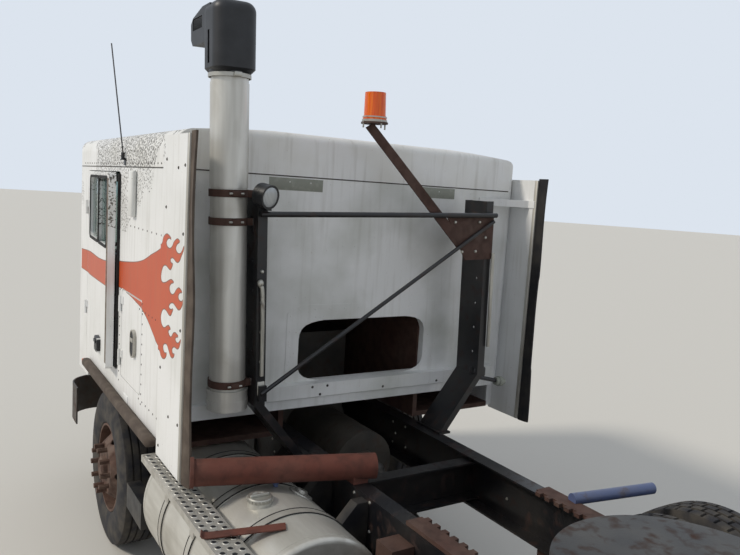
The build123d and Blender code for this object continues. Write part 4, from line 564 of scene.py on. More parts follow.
def deck_and_arms():
    """Tread-plate aluminium where the deck lies, black enamel on the arms and bracket round it."""
    material = weathered_aluminium("tread_plate_and_enamel", "#CBC9C3", "#A9A69D")
    tree = material.node_tree
    shader = tree.nodes["Principled BSDF"]
    aluminium = shader.inputs["Base Color"].links[0].from_socket
    mappings = (node for node in tree.nodes if node.bl_idname == "ShaderNodeMapping")
    place = next(mappings).outputs["Vector"]
    parts = add_node(tree, "ShaderNodeSeparateXYZ", {"Vector": place}).outputs
    outside = maths(tree, "GREATER_THAN", parts["X"], DECK_FROM_X)
    behind = maths(tree, "GREATER_THAN", parts["Y"], DECK_FROM_Y)
    on_deck = maths(tree, "MULTIPLY", outside, behind)
    dusty = patches(tree, place, 120, 0.40, 0.75, detail=6)
    enamel = tinted(tree, maths(tree, "MULTIPLY", dusty, 0.4), "#191A1D", "#5B544A")
    colour = tinted(tree, on_deck, enamel, aluminium)
    metal = maths(tree, "MULTIPLY", on_deck, 0.55)
    set_inputs(tree, shader, {"Base Color": colour, "Metallic": metal})
    return material


def moulded_plastic(name, colour, faded):
    """Moulded black plastic with a 1 mm pebble grain, greyed where the sun reaches it."""
    material, tree, shader, place = blank(name)
    grey = patches(tree, place, 110, 0.40, 0.75, detail=5)
    set_inputs(tree, shader, {"Base Color": tinted(tree, grey, colour, faded), "Roughness": 0.45})
    grain = patches(tree, place, 3, 0.3, 0.7, detail=2)
    roughened(tree, shader, grain, 0.15, 0.4)
    return material


def aged_rubber(name, colour, dust):
    """Black rubber gone grey-brown, with road dust in patches and a dry matt skin."""
    material, tree, shader, place = blank(name)
    dusty = patches(tree, place, 90, 0.38, 0.72, detail=7)
    scuffs = patches(tree, place, 12, 0.45, 0.7, detail=4)
    tinge = tinted(tree, maths(tree, "MULTIPLY", dusty, 0.65), colour, dust)
    set_inputs(tree, shader, {"Base Color": tinge, "Roughness": 0.82, "Specular IOR Level": 0.35})
    roughened(tree, shader, scuffs, 0.3, 0.4)
    return material


def tinted_glass():
    """Toughened glass, green-grey tint, with a film of dust that dulls it in patches."""
    material, tree, shader, place = blank("tinted_safety_glass")
    film = patches(tree, place, 150, 0.40, 0.75, detail=5)
    colour = tinted(tree, film, "#9FC0BC", "#B9BFB8")
    rough = maths(tree, "ADD", maths(tree, "MULTIPLY", film, 0.16), 0.03)
    glass = {"Base Color": colour, "Roughness": rough, "Transmission Weight": 0.85, "IOR": 1.5}
    set_inputs(tree, shader, glass)
    return material


def clear_lens():
    """Pressed headlamp glass, clear with fine upright flutes."""
    material, tree, shader, place = blank("pressed_lens_glass")
    waves = {"Vector": place, "Scale": 40.0, "Distortion": 0.5}
    flutes = add_node(tree, "ShaderNodeTexWave", waves, bands_direction="X").outputs["Fac"]
    colour = tinted(tree, flutes, "#D9DCDD", "#AEB4B8")
    glass = {"Base Color": colour, "Roughness": 0.12, "Transmission Weight": 0.35, "Metallic": 0.2}
    set_inputs(tree, shader, glass)
    roughened(tree, shader, flutes, 0.6, 0.6)
    return material


def amber_lens():
    """Orange acrylic beacon dome, glossy, with moulded upright ribs inside."""
    material, tree, shader, place = blank("amber_acrylic")
    ribs = patches(tree, place, 10, 0.35, 0.65, detail=1, stretch=(1, 1, 0.05))
    colour = tinted(tree, ribs, "#FF7D14", "#EA5606")
    acrylic = {"Base Color": colour, "Roughness": 0.18, "Transmission Weight": 0.25, "IOR": 1.49}
    set_inputs(tree, shader, acrylic)
    roughened(tree, shader, ribs, 0.4, 0.3)
    return material


def woven_cloth(name, density, threads, wear, sockets, relief):
    """Woven cloth: a checker of its threads, paler where it is worn, with a shallow relief."""
    material, tree, shader, place = blank(name)
    first, second = (linear(thread) for thread in threads)
    checks = {"Vector": place, "Scale": density, "Color1": first, "Color2": second}
    weave = add_node(tree, "ShaderNodeTexChecker", checks).outputs["Color"]
    size_mm, low, worn_colour = wear
    worn = patches(tree, place, size_mm, low, 0.75, detail=5)
    colour = tinted(tree, maths(tree, "MULTIPLY", worn, 0.5), weave, worn_colour)
    set_inputs(tree, shader, {"Base Color": colour, **sockets})
    roughened(tree, shader, worn, *relief)
    return material


STEELS = (  # key, material, coat, rust, width and level of its edge, gloss, then metal and dust
    ("black", "chassis_enamel_black", "#0D0E13", "#35231C", 0.30, 0.54, 0.38, 0.0, 0.10),  # satin
    ("rust", "rusted_mild_steel", "#472D24", "#2E1D17", 0.35, 0.42, 0.75, 0.0, 0.20),  # brown scale
    ("red_rust", "red_rusted_tube", "#5F3024", "#3F2018", 0.35, 0.45, 0.8, 0.0, 0.15),  # orange
    ("wheel", "rusted_wheel_steel", "#5C4236", "#40281E", 0.30, 0.42, 0.7),  # with brake dust
    ("iron", "oily_cast_iron", "#33302C", "#4A372A", 0.30, 0.55, 0.55),  # dark grey-brown
    ("plate", "greased_plate_steel", "#2E2C2A", "#4A3226", 0.30, 0.50, 0.35, 0.5, 0.25),  # dull
    # Channel coat: its dull brown-grey is partly weathered metal, partly painted shade of the
    # door's rearward-facing edge.
    ("channel", "brown_anodised_channel", "#75695D", "#4E4038", 0.30, 0.48, 0.5, 0.3),  # on doors
    ("blue", "blue_painted_tube", "#4B5C86", "#6B6258", 0.25, 0.56, 0.4),  # fender's tube
    ("zinc", "zinc_plated_steel", "#B4B2AA", "#6E5A48", 0.25, 0.60, 0.4, 0.7),  # bolts, clamps
    ("dark", "dark_bumper_enamel", "#2B2420", "#4B3328", 0.30, 0.46, 0.5),  # brown-black
)


def make_finishes():
    """Every finish of the truck, by a short name."""
    looks = bpy.context.scene.tractor_finish
    FINISHES.update((key, worn_steel(*row)) for key, *row in STEELS)
    FINISHES.update(
        roof=cab_enamel("chalked_enamel_roof", 0.30, 0.515, "#D8D7D1"),
        side=cab_enamel("chalked_enamel_side", 0.25, 0.555, "#DCDDDB"),
        # The rear copy's darker grey patches are painted shade of the rear wall; the rivets,
        # doubler and vent covers on this finish share it.
        rear=cab_enamel("chalked_enamel_rear_painted_shade", 0.20, 0.690, "#C6C8C3"),
        tank=weathered_aluminium("brushed_tank_aluminium", "#D3D1CA", "#B2AFA6", (1, 0.12, 1)),
        deck=weathered_aluminium("tread_plate_aluminium", "#CBC9C3", "#A9A69D"),
        deck_arms=deck_and_arms(),
        stack=weathered_aluminium("spiral_tube_aluminium", "#DAD9D4", "#B3B0A8", (1, 1, 0.06)),
        trim=weathered_aluminium("extruded_trim_aluminium", "#C9C7C0", "#A7A39A", (1, 1, 0.1)),
        hood=moulded_plastic("moulded_polyethylene", "#101114", "#232428"),
        dash=moulded_plastic("moulded_dash", "#2A2723", "#3A352F"),
        tyre=aged_rubber("tyre_rubber", "#26262A", "#5B554B"),
        flap=aged_rubber("flap_rubber", "#1C1C1F", "#3A3733"),
        trim_rubber=aged_rubber("trim_rubber", "#4A4039", "#6B6157"),
        glass=tinted_glass(),
        lens=clear_lens(),
        amber=amber_lens(),
        tape=woven_cloth(  # duct tape, silver-grey gone dull over its scrim
            "cloth_tape", 220.0, ("#8E9086", "#868A80"), (30, 0.50, "#A9AAA0"),
            {"Roughness": 0.6}, (0.2, 0.3),
        ),
        cloth=woven_cloth(  # brown-grey basket weave, its threads 4 mm apart
            "woven_seat_cloth", 240.0, ("#4B413A", "#3A322D"), (160, 0.40, "#6B6055"),
            {"Roughness": 0.9, "Sheen Weight": 0.25}, (0.8, 0.4),
        ),
        flame=painted_film("red_sign_film", looks.flame_red, 0.30),
        pinstripe=painted_film("grey_outline_film", linear("#6A554C")[:3], 0.15),
    )


FINISH_NODES = {  # the nodes of each finish; a star stands for left and for right
    "roof": "roof",
    "rear": "rear_wall",
    "side": "front_wall side_wall_* door_* luggage_door_* extender_*",
    "glass": "door_glass_* windscreen",
    "trim": "grille headlamps",
    "trim_rubber": "rubber_trims",
    "cloth": "seats bunk",
    "dash": "dashboard",
    "dark": "bumper",
    "black": "antenna frame front_axle radiator rack_post_* rack_tubes",
    "iron": "knuckle_* rear_axles driveline engine_block",
    "rust": "cab_floor tie_rod leaf_springs fifth_wheel_base beacon_bar",
    "red_rust": "cross_tube",
    "plate": "fifth_wheel_plate",
    "tank": "fuel_tank_left",
    "deck_arms": "tank_deck_left",
    "stack": "air_stack",
    "hood": "air_inlet work_lamp",
    "amber": "beacon_lamp",
    "wheel": "wheel_front_* wheels_drive_* wheels_rear_*",
    "tyre": "tyre_front_* tyres_drive_* tyres_rear_*",
}

# Tyres. Half a section, as (share of the half width, radius as a share of the tyre's).
SIDEWALL = (
    (0.80, 0.566), (0.90, 0.590), (0.97, 0.650), (1.00, 0.750), (0.985, 0.850), (0.935, 0.915),
    (0.885, 0.955), (0.83, 0.985),
)
TREAD_HALF = 0.74
STEER_GROOVES = (-0.50, -0.18, 0.18, 0.50)
DRIVE_GROOVES = (-0.42, 0.0, 0.42)
GROOVE_SLOPE = 0.012
PLAIN_PITCHES = 24
LUG_STEPS = (0.0, 0.14, 0.17, 0.33, 0.36, 0.50, 0.64, 0.67, 0.83, 0.86)


def tread_columns(grooves, half_groove):
    """Places across the tread, and the rib that each lies on; -1 is a groove's floor."""
    places, ribs = [-TREAD_HALF], [0]
    for rib, groove in enumerate(grooves):
        edge = half_groove + GROOVE_SLOPE
        places += [groove - edge, groove - half_groove, groove + half_groove, groove + edge]
        ribs += [rib, -1, -1, rib + 1]
    return np.array(places + [TREAD_HALF]), np.array(ribs + [len(grooves)])


def tyre_surface(centre_x, centre_y, lugged):
    """Section turned about the axle: radius = crown - depth where a groove runs."""
    sizes = bpy.context.scene.tractor_sizes
    grooves, half_groove = (DRIVE_GROOVES, 0.045) if lugged else (STEER_GROOVES, 0.035)
    places, ribs = tread_columns(grooves, half_groove)
    side = np.array(SIDEWALL)
    across = np.concatenate([-side[:, 0], places, side[::-1, 0]]) * TYRE_WIDTH / 2
    crown = np.concatenate([side[:, 1], 1 - 0.012 * places**2, side[::-1, 1]]) * TYRE_RADIUS
    rib = np.concatenate([np.full(len(side), -2), ribs, np.full(len(side), -2)])
    pitches = sizes.tread_pitches if lugged else PLAIN_PITCHES
    fraction = np.tile(LUG_STEPS if lugged else LUG_STEPS[::2], pitches)
    walked = np.repeat(np.arange(pitches), len(fraction) // pitches) + fraction
    turn = walked / pitches * 2 * math.pi
    even = (fraction > 0.16) & (fraction < 0.34)
    odd = (fraction > 0.66) & (fraction < 0.84)
    cross = np.where((rib % 2 == 0)[None], even[:, None], odd[:, None]) & (rib >= 0)[None] & lugged
    groove = np.broadcast_to((rib == -1)[None], cross.shape)
    depth = sizes.tread_depth * np.maximum(groove, 0.8 * cross)
    radius = crown[None] - depth
    offset = np.broadcast_to(across[None], radius.shape)
    y = centre_y + radius * np.cos(turn)[:, None]
    z = TYRE_RADIUS + radius * np.sin(turn)[:, None]
    points = np.stack([centre_x + offset, y, z], -1)
    return points.reshape(-1, 3), grid_quads(*radius.shape, wrap_rows=True, wrap_columns=True)


def sizes_of(node):
    """Lowest and highest corner of a node as arrays."""
    low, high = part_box(node)
    return np.array(low), np.array(high)


class TRACTOR_OT_finishes(bpy.types.Operator):
    """Give every node of the frame its own weathered finish"""

    bl_idname = "tractor.finishes"
    bl_label = "Finishes"

    def execute(self, context):
        make_finishes()
        for finish, names in FINISH_NODES.items():
            for node in {name.replace("*", side) for name in names.split() for side, _ in SIDES}:
                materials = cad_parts[node].data.materials
                materials.clear()
                materials.append(FINISHES[finish])
        return {"FINISHED"}


class TRACTOR_OT_tyres(bpy.types.Operator):
    """Make the ribbed front tyres and the lugged twin tyres of both drive axles"""

    bl_idname = "tractor.tyres"
    bl_label = "Tyres"

    def execute(self, context):
        for side_name, _ in SIDES:
            low, high = sizes_of(f"tyre_front_{side_name}")
            surface = tyre_surface((low[0] + high[0]) / 2, AXLE_Y, False)
            body = f"{side_name}_front_wheel"
            made = piece(f"ribbed_tyre_{side_name}", [surface], "tyre", body, 25)
            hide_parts(f"tyre_front_{side_name}")
            for axle in ("drive", "rear"):
                node = f"tyres_{axle}_{side_name}"
                low, high = sizes_of(node)
                centre_y = (low[1] + high[1]) / 2
                middles = low[0] + TYRE_WIDTH / 2, high[0] - TYRE_WIDTH / 2
                pair = [tyre_surface(x, centre_y, True) for x in middles]
                body, name = f"{side_name}_{axle}_wheels", f"lugged_tyres_{axle}_{side_name}"
                made = piece(name, pair, "tyre", body, 25)
                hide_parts(node)
        return {"FINISHED"}


def rivet(radius, height, normal):
    """Low domed head: four rings of a shallow cap turned about the normal."""
    profile = ((-0.001, radius), (0.0, radius), (height * 0.7, radius * 0.7), (height, 0.0))
    return turned(profile, np.zeros(3), normal, 8)


class TRACTOR_OT_cab_trim(bpy.types.Operator):
    """Add the roof seam, rivet rows, the plate round the rear opening, tape and side vents"""

    bl_idname = "tractor.cab_trim"
    bl_label = "Cab trim"

    def execute(self, context):
        sizes = context.scene.tractor_sizes
        head = rivet(sizes.rivet_radius * 0.8, 0.002, Y_AXIS)
        rows = [(x, CAB_REAR_Y, 2.13) for x in (0.57, 0.436, 0.149, 0.072, -0.055, -0.182, -0.322)]
        rows += [(x, CAB_REAR_Y, 1.845) for x in (0.43, 0.37, -0.35)]
        for x0, z0, x1, z1, proud, count in (
            (-1.0, SEAM_Z - 0.03, 1.0, SEAM_Z - 0.03, 0.0, 17),
            (0.455, 1.40, 0.455, 1.74, 0.002, 5),
            (0.40, 1.775, -0.64, 1.775, 0.002, 12),
            (-0.695, 1.74, -0.695, 1.40, 0.002, 5),
        ):
            y = CAB_REAR_Y + proud
            rows += line_of((x0, y, z0), (x1, y, z1), count).tolist()
        piece("rear_wall_rivets", [scattered(head, rows)], "rear", "cab")
        beam_y = sizes_of("rear_wall")[1][1]
        bolt = rivet(0.008, 0.005, Y_AXIS)
        beam = [(x, beam_y, z) for x, z in ((0.323, 1.341), (0.228, 1.341), (0.273, 1.295))]
        beam += [(x, beam_y, 1.30) for x in (0.9, 0.62, -0.15, -0.55, -0.9)]
        piece("rear_beam_bolts", [scattered(bolt, beam)], "iron", "cab")
        side_head = rivet(sizes.rivet_radius, 0.0028, X_AXIS)
        rows = []
        for y0, z0, y1, z1, count in (
            (-1.0, SEAM_Z + 0.022, 1.18, SEAM_Z + 0.022, 34),
            (0.34, 2.155, 1.08, 2.155, 9),
            (0.68, 1.70, 1.08, 1.70, 7),
            (0.70, 1.18, 1.08, 1.18, 6),
            (0.20, 1.16, 0.20, 1.74, 11),
            (0.745, 1.16, 0.745, 1.74, 11),
        ):
            ends = from_axle(CAB_SIDE_X, y0, z0), from_axle(CAB_SIDE_X, y1, z1)
            rows.append(line_of(*ends, count))
        flank = scattered(side_head, np.concatenate(rows))
        piece("cab_rivets", [flank, mirrored(flank)], "iron", "cab")
        self.seam()
        self.rear_opening_plate()
        self.tape()
        self.side_fittings()
        return {"FINISHED"}

    def seam(self):
        """Bead of dark sealant along the roof's lower edge, one tube each side and one behind."""
        front, corner, bead = -1.12, 0.06, 0.0035
        start = from_axle(CAB_SIDE_X, front, SEAM_Z)
        side = tube(line_of(start, (CAB_SIDE_X, CAB_REAR_Y - corner, SEAM_Z), 12), bead, 6)
        half = 1.06
        back = tube(line_of((-half, CAB_REAR_Y, SEAM_Z), (half, CAB_REAR_Y, SEAM_Z), 12), bead, 6)
        piece("roof_sealant", [side, mirrored(side), back], "iron", "cab")

    def rear_opening_plate(self):
        """Doubler sheet round the opening: upper corners cut off outside, a superellipse inside."""
        left, right, low, high, cut = -0.507, 0.690, -0.180, 0.2625, 0.045
        angle = np.linspace(0, 2 * math.pi, 96, endpoint=False) + math.pi / 96
        ray = np.stack([np.cos(angle), np.sin(angle)], -1)
        reach = np.where(ray > 0, (right, high), (left, low)) / ray
        outer = ray * reach.min(axis=1)[:, None]
        corner = np.where(outer[:, 0] > 0, right, -left) + high - cut
        outer[:, 1] -= np.maximum(0, np.abs(outer[:, 0]) + outer[:, 1] - corner)
        half_size, power = (0.432, 0.177), 5.0
        size = (np.abs(ray / half_size) ** power).sum(axis=1) ** (-1 / power)
        inner = ray * size[:, None]
        centre = np.array((-0.03, CAB_REAR_Y, 1.5375))
        ring = frame_ring(outer, inner, centre, -X_AXIS, Z_AXIS, 0.002)
        piece("opening_doubler", [ring], "rear", "cab")

    def tape(self):
        """Two strips of cloth tape laid flat on the rear wall, just under the roof seam."""
        strips = []
        for x0, x1, z0, z1 in ((0.30, 0.62, 2.425, 2.490), (-0.62, -0.36, 2.430, 2.492)):
            strips.append(
                rounded_block((x0, CAB_REAR_Y - 0.001, z0), (x1, CAB_REAR_Y + 0.0012, z1), 0.0004)
            )
        piece("seam_tape", strips, "tape", "cab")

    def side_fittings(self):
        """Upright vent cover high on each side, and a small plate low on it."""
        for side_name, side in SIDES:
            x = CAB_SIDE_X - 0.001
            cover = block((x, 0.47, 2.215), (CAB_SIDE_X + 0.032, 0.56, 2.480), 0.012)
            plate = block((x, 0.33, 1.052), (CAB_SIDE_X + 0.004, 0.45, 1.116), 0.001)
            both = [on_side(cover, side), on_side(plate, side)]
            piece(f"vent_cover_{side_name}", both, "rear", "cab")


SKIN_X = 1.1195
WINDOWS, WINDOW_MIDDLE, WINDOW_HEIGHT = ((-0.740, -0.303), (-0.277, 0.095)), 2.2125, 0.425


class TRACTOR_OT_doors(bpy.types.Operator):
    """Fit the doors' channels, gaskets, pulls and seals, the locker latches and marker lamps"""

    bl_idname = "tractor.doors"
    bl_label = "Doors"

    def execute(self, context):
        for name, side in SIDES:
            body = f"{name}_door"
            # Rearward-facing door edge: its brown-grey coat is partly weathered metal, partly
            # painted shade.
            channel = block((1.0760, 0.106, 1.254), (1.1235, 0.1465, 2.426), 0.004)
            piece(f"door_channel_{name}", [on_door(channel, side)], "channel", body)
            gaskets = []
            for y0, y1 in WINDOWS:
                width, height = y1 - y0, WINDOW_HEIGHT
                outer = rounded_outline(width + 0.026, height + 0.030, 0.045)
                inner = rounded_outline(width - 0.006, height - 0.006, 0.035)
                centre = from_axle(SKIN_X, (y0 + y1) / 2, WINDOW_MIDDLE)
                ring = frame_ring(outer, inner, centre, Y_AXIS, Z_AXIS, 0.006)
                gaskets.append(on_door(ring, side))
            piece(f"window_gaskets_{name}", gaskets, "flap", body)
            outline = rounded_outline(0.124, 0.099, 0.018)
            centre, levels = from_axle(1.119, -0.155, 1.320), ((0, 1), (0.022, 1), (0.027, 0.94))
            cover = raised_form(outline, centre, Y_AXIS, Z_AXIS, levels)
            lever = block((1.144, -0.195, 1.330), (1.154, -0.115, 1.352), 0.004)
            pull = [on_door(cover, side), on_door(lever, side)]
            piece(f"door_pull_{name}", pull, "hood", body)
            seal = block((1.118, 0.1515, 1.230), (1.139, 0.163, 2.455), 0.005)
            piece(f"door_seal_{name}", [on_side(seal, side)], "flap", "cab")
            self.locker_latch(name, side)
            lamp = block((1.118, -0.957, 0.990), (1.138, -0.870, 1.026), 0.006)
            piece(f"marker_lamp_{name}", [on_side(lamp, side)], "amber", "cab")
        return {"FINISHED"}

    def locker_latch(self, name, side):
        """Upright oval paddle latch: pale rim, dark dish and a small lever."""
        body, centre = f"{name}_luggage_door", from_axle(SKIN_X, 0.580, 1.477)
        inner = rounded_outline(0.071, 0.149, 0.035, 8)
        outer = rounded_outline(0.088, 0.166, 0.044, 8)
        rim = frame_ring(outer, inner, centre, Y_AXIS, Z_AXIS, 0.019)
        lever = block_at(centre, (0.016, -0.026, 0.010), (0.021, 0.026, 0.034), 0.002)
        pale = [on_side(rim, side), on_side(lever, side)]
        piece(f"latch_rim_{name}", pale, "trim", body)
        dish = raised_form(inner, centre, Y_AXIS, Z_AXIS, ((0.001, 1), (0.0155, 1), (0.0150, 0.55)))
        piece(f"latch_dish_{name}", [on_side(dish, side)], "hood", body)


def smoothed_outline(points):
    """Closed outline through every point, with (9 (b + c) - a - d) / 16 added between b and c."""
    points = np.asarray(points, float)
    before, after, beyond = (np.roll(points, shift, 0) for shift in (1, -1, -2))
    between = (9 * (points + after) - before - beyond) / 16
    return np.stack([points, between], 1).reshape(-1, 2)


def panel_sheets(points, corners):
    """For each panel, the points and triangles of the part of a flat sheet that lies on it."""
    _, y, z = points[corners].mean(1).T
    for panel, x, (y0, y1), (z0, z1) in PANELS_SEEN:
        inside = (y > y0) & (y < y1) & (z > z0) & (z < z1)
        if inside.any():
            used, index = np.unique(corners[inside], return_inverse=True)
            yield panel, points[used] + (x, 0.0, 0.0), index.reshape(-1, 3)


def pinstripe_sheet(outline, width):
    """Ribbon laid along the outline in steps of one pitch, from its edge outwards."""
    closed = np.concatenate([outline, outline[:1]])
    walked = np.concatenate([[0.0], np.cumsum(np.linalg.norm(np.diff(closed, axis=0), axis=1))])
    places = np.arange(0.0, walked[-1], STRIPE_PITCH)
    edge = np.stack([np.interp(places, walked, closed[:, axis]) for axis in (0, 1)], -1)
    along = np.roll(edge, -1, 0) - np.roll(edge, 1, 0)
    along /= np.linalg.norm(along, axis=1)[:, None]
    outer = edge + width * np.stack([-along[:, 1], along[:, 0]], -1)
    first = np.arange(len(edge))
    then = (first + 1) % len(edge)
    corners = [
        np.stack([first, first + len(edge), then], -1),
        np.stack([then, first + len(edge), then + len(edge)], -1),
    ]
    flat = np.concatenate([edge, outer])
    return np.column_stack([np.zeros(len(flat)), flat]), np.concatenate(corners)


def film_sheet(outline):
    """Outline filled with triangles and cut at the panels' gaps."""
    spots, _, triangles, *_ = delaunay_2d_cdt(
        [Vector(spot) for spot in outline], [], [list(range(len(outline)))], 1, 1e-6
    )
    form = bmesh.new()
    corners = [form.verts.new((0.0, *spot)) for spot in spots]
    for triangle in triangles:
        form.faces.new([corners[index] for index in triangle])
    for axis, places in FILM_CUTS:
        for place in places:
            everything = [*form.verts, *form.edges, *form.faces]
            bmesh.ops.bisect_plane(form, geom=everything, plane_co=axis * place, plane_no=axis)
    bmesh.ops.triangulate(form, faces=form.faces)
    form.verts.index_update()
    points = np.array([vertex.co for vertex in form.verts])
    corners = np.array([[vertex.index for vertex in face.verts] for face in form.faces])
    form.free()
    return points, corners


def film(points, triangles, height):
    """Closed sheet: face raised off the panel by height, back sunk by as much, a rim between."""
    count = len(points)
    edges = np.concatenate([triangles[:, [0, 1]], triangles[:, [1, 2]], triangles[:, [2, 0]]])
    known = {tuple(edge) for edge in edges.tolist()}
    rim = np.array([edge for edge in edges.tolist() if (edge[1], edge[0]) not in known])
    front = np.column_stack([triangles, triangles[:, 2]])
    back = np.column_stack([triangles[:, ::-1], triangles[:, 0]]) + count
    side = np.column_stack([rim[:, 1], rim[:, 0], rim[:, 0] + count, rim[:, 1] + count])
    solid = np.concatenate([points + (height, 0, 0), points - (height, 0, 0)])
    return solid + (0.0, AXLE_Y, 0.0), np.concatenate([front, back, side])


class TRACTOR_OT_flames(bpy.types.Operator):
    """Lay the flame film on the doors, walls and extenders, a dark outline under the red"""

    bl_idname = "tractor.flames"
    bl_label = "Flames"

    def execute(self, context):
        outline = smoothed_outline(FLAME_OUTLINE)
        stripe, flame = pinstripe_sheet(outline, STRIPE_WIDTH), film_sheet(outline)
        layers = ("pinstripe", stripe, STRIPE_HEIGHT), ("flame", flame, FLAME_HEIGHT)
        for side_name, side in SIDES:
            for finish, whole, height in layers:
                sheets = {}
                for panel, points, triangles in panel_sheets(*whole):
                    if side == RIGHT and panel == "extender":
                        behind = points[:, 1] - EXTENDER_FRONT
                        points[:, 1] = EXTENDER_FRONT + behind * RIGHT_FILM_SHARE
                    sheet = film(points, triangles, height)
                    sheet = on_door(sheet, side) if panel == "door" else on_side(sheet, side)
                    sheets.setdefault(panel, []).append(sheet)
                for panel, laid in sheets.items():
                    body = "cab" if panel in ("cab", "extender") else f"{side_name}_{panel}"
                    piece(f"{finish}_film_{panel}_{side_name}", laid, finish, body, 60)
        return {"FINISHED"}


def flap_surface(rear_y, top_z, seed):
    """Rubber flap down an extender's edge: it waves by sines of the height and is torn a little."""
    x0, x1, low_z, width = 1.1283, 1.1423, 1.025, 0.0745
    z = np.linspace(low_z, top_z, 70)
    wave = 0.010 * np.sin(2.3 * z + seed) + 0.005 * np.sin(7.1 * z + 2 * seed)
    torn = 1 - 0.035 * (1 + np.sin(11.0 * z + seed)) * (np.sin(4.7 * z + 3 * seed) > 0.2)
    share = np.array((0.0, 0.35, 0.75, 1.0, 1.0, 0.75, 0.35, 0.0))
    thick = np.array((x1, x1, x1, x1 - 0.002, x0 + 0.002, x0, x0, x0))
    y = rear_y + 0.0005 + width * share[None] * torn[:, None]
    x = thick[None] + wave[:, None] * share[None] ** 2
    rows = np.stack([x, y + AXLE_Y, np.broadcast_to(z[:, None], x.shape)], -1)
    caps = rows[0].mean(0), rows[-1].mean(0)
    points = np.concatenate(
        [np.broadcast_to(caps[0], (1, 8, 3)), rows, np.broadcast_to(caps[1], (1, 8, 3))]
    )
    return points.reshape(-1, 3), grid_quads(len(points), 8, wrap_columns=True)


def flare_surface():
    """Wheel flare: a rounded lip carried along the sill, tucked in towards both ends."""
    x0, z0 = CAB_SIDE_X + 0.0005, 1.022
    reach, height = sizes_of("rubber_trims")[1][0] - CAB_SIDE_X, 0.060
    turn = np.linspace(0, 2 * math.pi, 16, endpoint=False)
    across = np.sign(np.cos(turn)) * np.abs(np.cos(turn)) ** 0.7
    up = np.sign(np.sin(turn)) * np.abs(np.sin(turn)) ** 0.7
    front, rear, tuck = -0.735, 1.10, 0.03
    close = tuck * np.array((0, 0.1, 0.35, 1.0))
    y = np.concatenate([front + close, np.linspace(-0.65, 1.02, 24), rear - close[::-1]])
    size = np.clip(np.minimum((y - front) / tuck, (rear - y) / tuck), 0, 1) ** 0.5
    size = 0.35 + 0.65 * size
    x = x0 + reach / 2 * (1 + across[None]) * size[:, None]
    sag = 0.004 * np.sin(2.1 * y)[:, None]
    z = z0 + height / 2 + height / 2 * up[None] * size[:, None] - sag + 0.004
    rows = np.stack([x, np.broadcast_to(y[:, None] + AXLE_Y, x.shape), z], -1)
    points = np.concatenate([rows[:1] * 0 + rows[0].mean(0), rows, rows[:1] * 0 + rows[-1].mean(0)])
    return points.reshape(-1, 3), grid_quads(len(points), 16, wrap_columns=True)


EXTENDERS = ((LEFT, 1.590, 2.655), (RIGHT, 1.470, 2.580))  # side, rear edge and top
INNER_BOLTS = (
    (1.258, 2.309), (1.389, 1.290), (1.440, 2.500), (1.250, 2.540), (1.230, 1.500), (1.230, 1.090)
)
EDGE_BOLTS_Z, BOLT_X = (1.296, 1.75, 2.20, 2.512), 1.1503


class TRACTOR_OT_extenders(bpy.types.Operator):
    """Edge the side extenders with channel, bolts and torn flaps, and lay the wheel flares"""

    bl_idname = "tractor.extenders"
    bl_label = "Extenders"

    def execute(self, context):
        edges, flaps, bolts = [], [], []
        for side, rear_y, top_z in EXTENDERS:
            edge = block((1.1180, rear_y - 0.026, 1.031), (1.1526, rear_y + 0.0005, top_z), 0.003)
            edges.append(on_side(edge, side))
            flap = on_side(flap_surface(rear_y, top_z + 0.010, 1.0 + side), side)
            # The right flap is the same rubber as the left, made black as painted shade; the left
            # keeps the brown-grey rubber.
            if side == RIGHT:
                piece("extender_flap_right", [flap], "flap", "cab", 50)
            else:
                flaps.append(flap)
            head = rivet(0.0085, 0.005, X_AXIS)
            places = [*INNER_BOLTS, *((rear_y - 0.05, z) for z in EDGE_BOLTS_Z)]
            heads = scattered(head, [from_axle(BOLT_X, y, z) for y, z in places])
            bolts.append(on_side(heads, side))
        piece("extender_edge_channels", edges, "trim", "cab")
        piece("extender_bolts", bolts, "iron", "cab")
        flares = [flare_surface(), mirrored(flare_surface())]
        made = piece("flaps_and_flares", flaps + flares, "trim_rubber", "cab", 50)
        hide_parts("rubber_trims")
        return {"FINISHED"}


STACK = from_axle(0.860, 1.440, 0.0)
BAND_PLACES = (1.468, 2.272, 2.407)


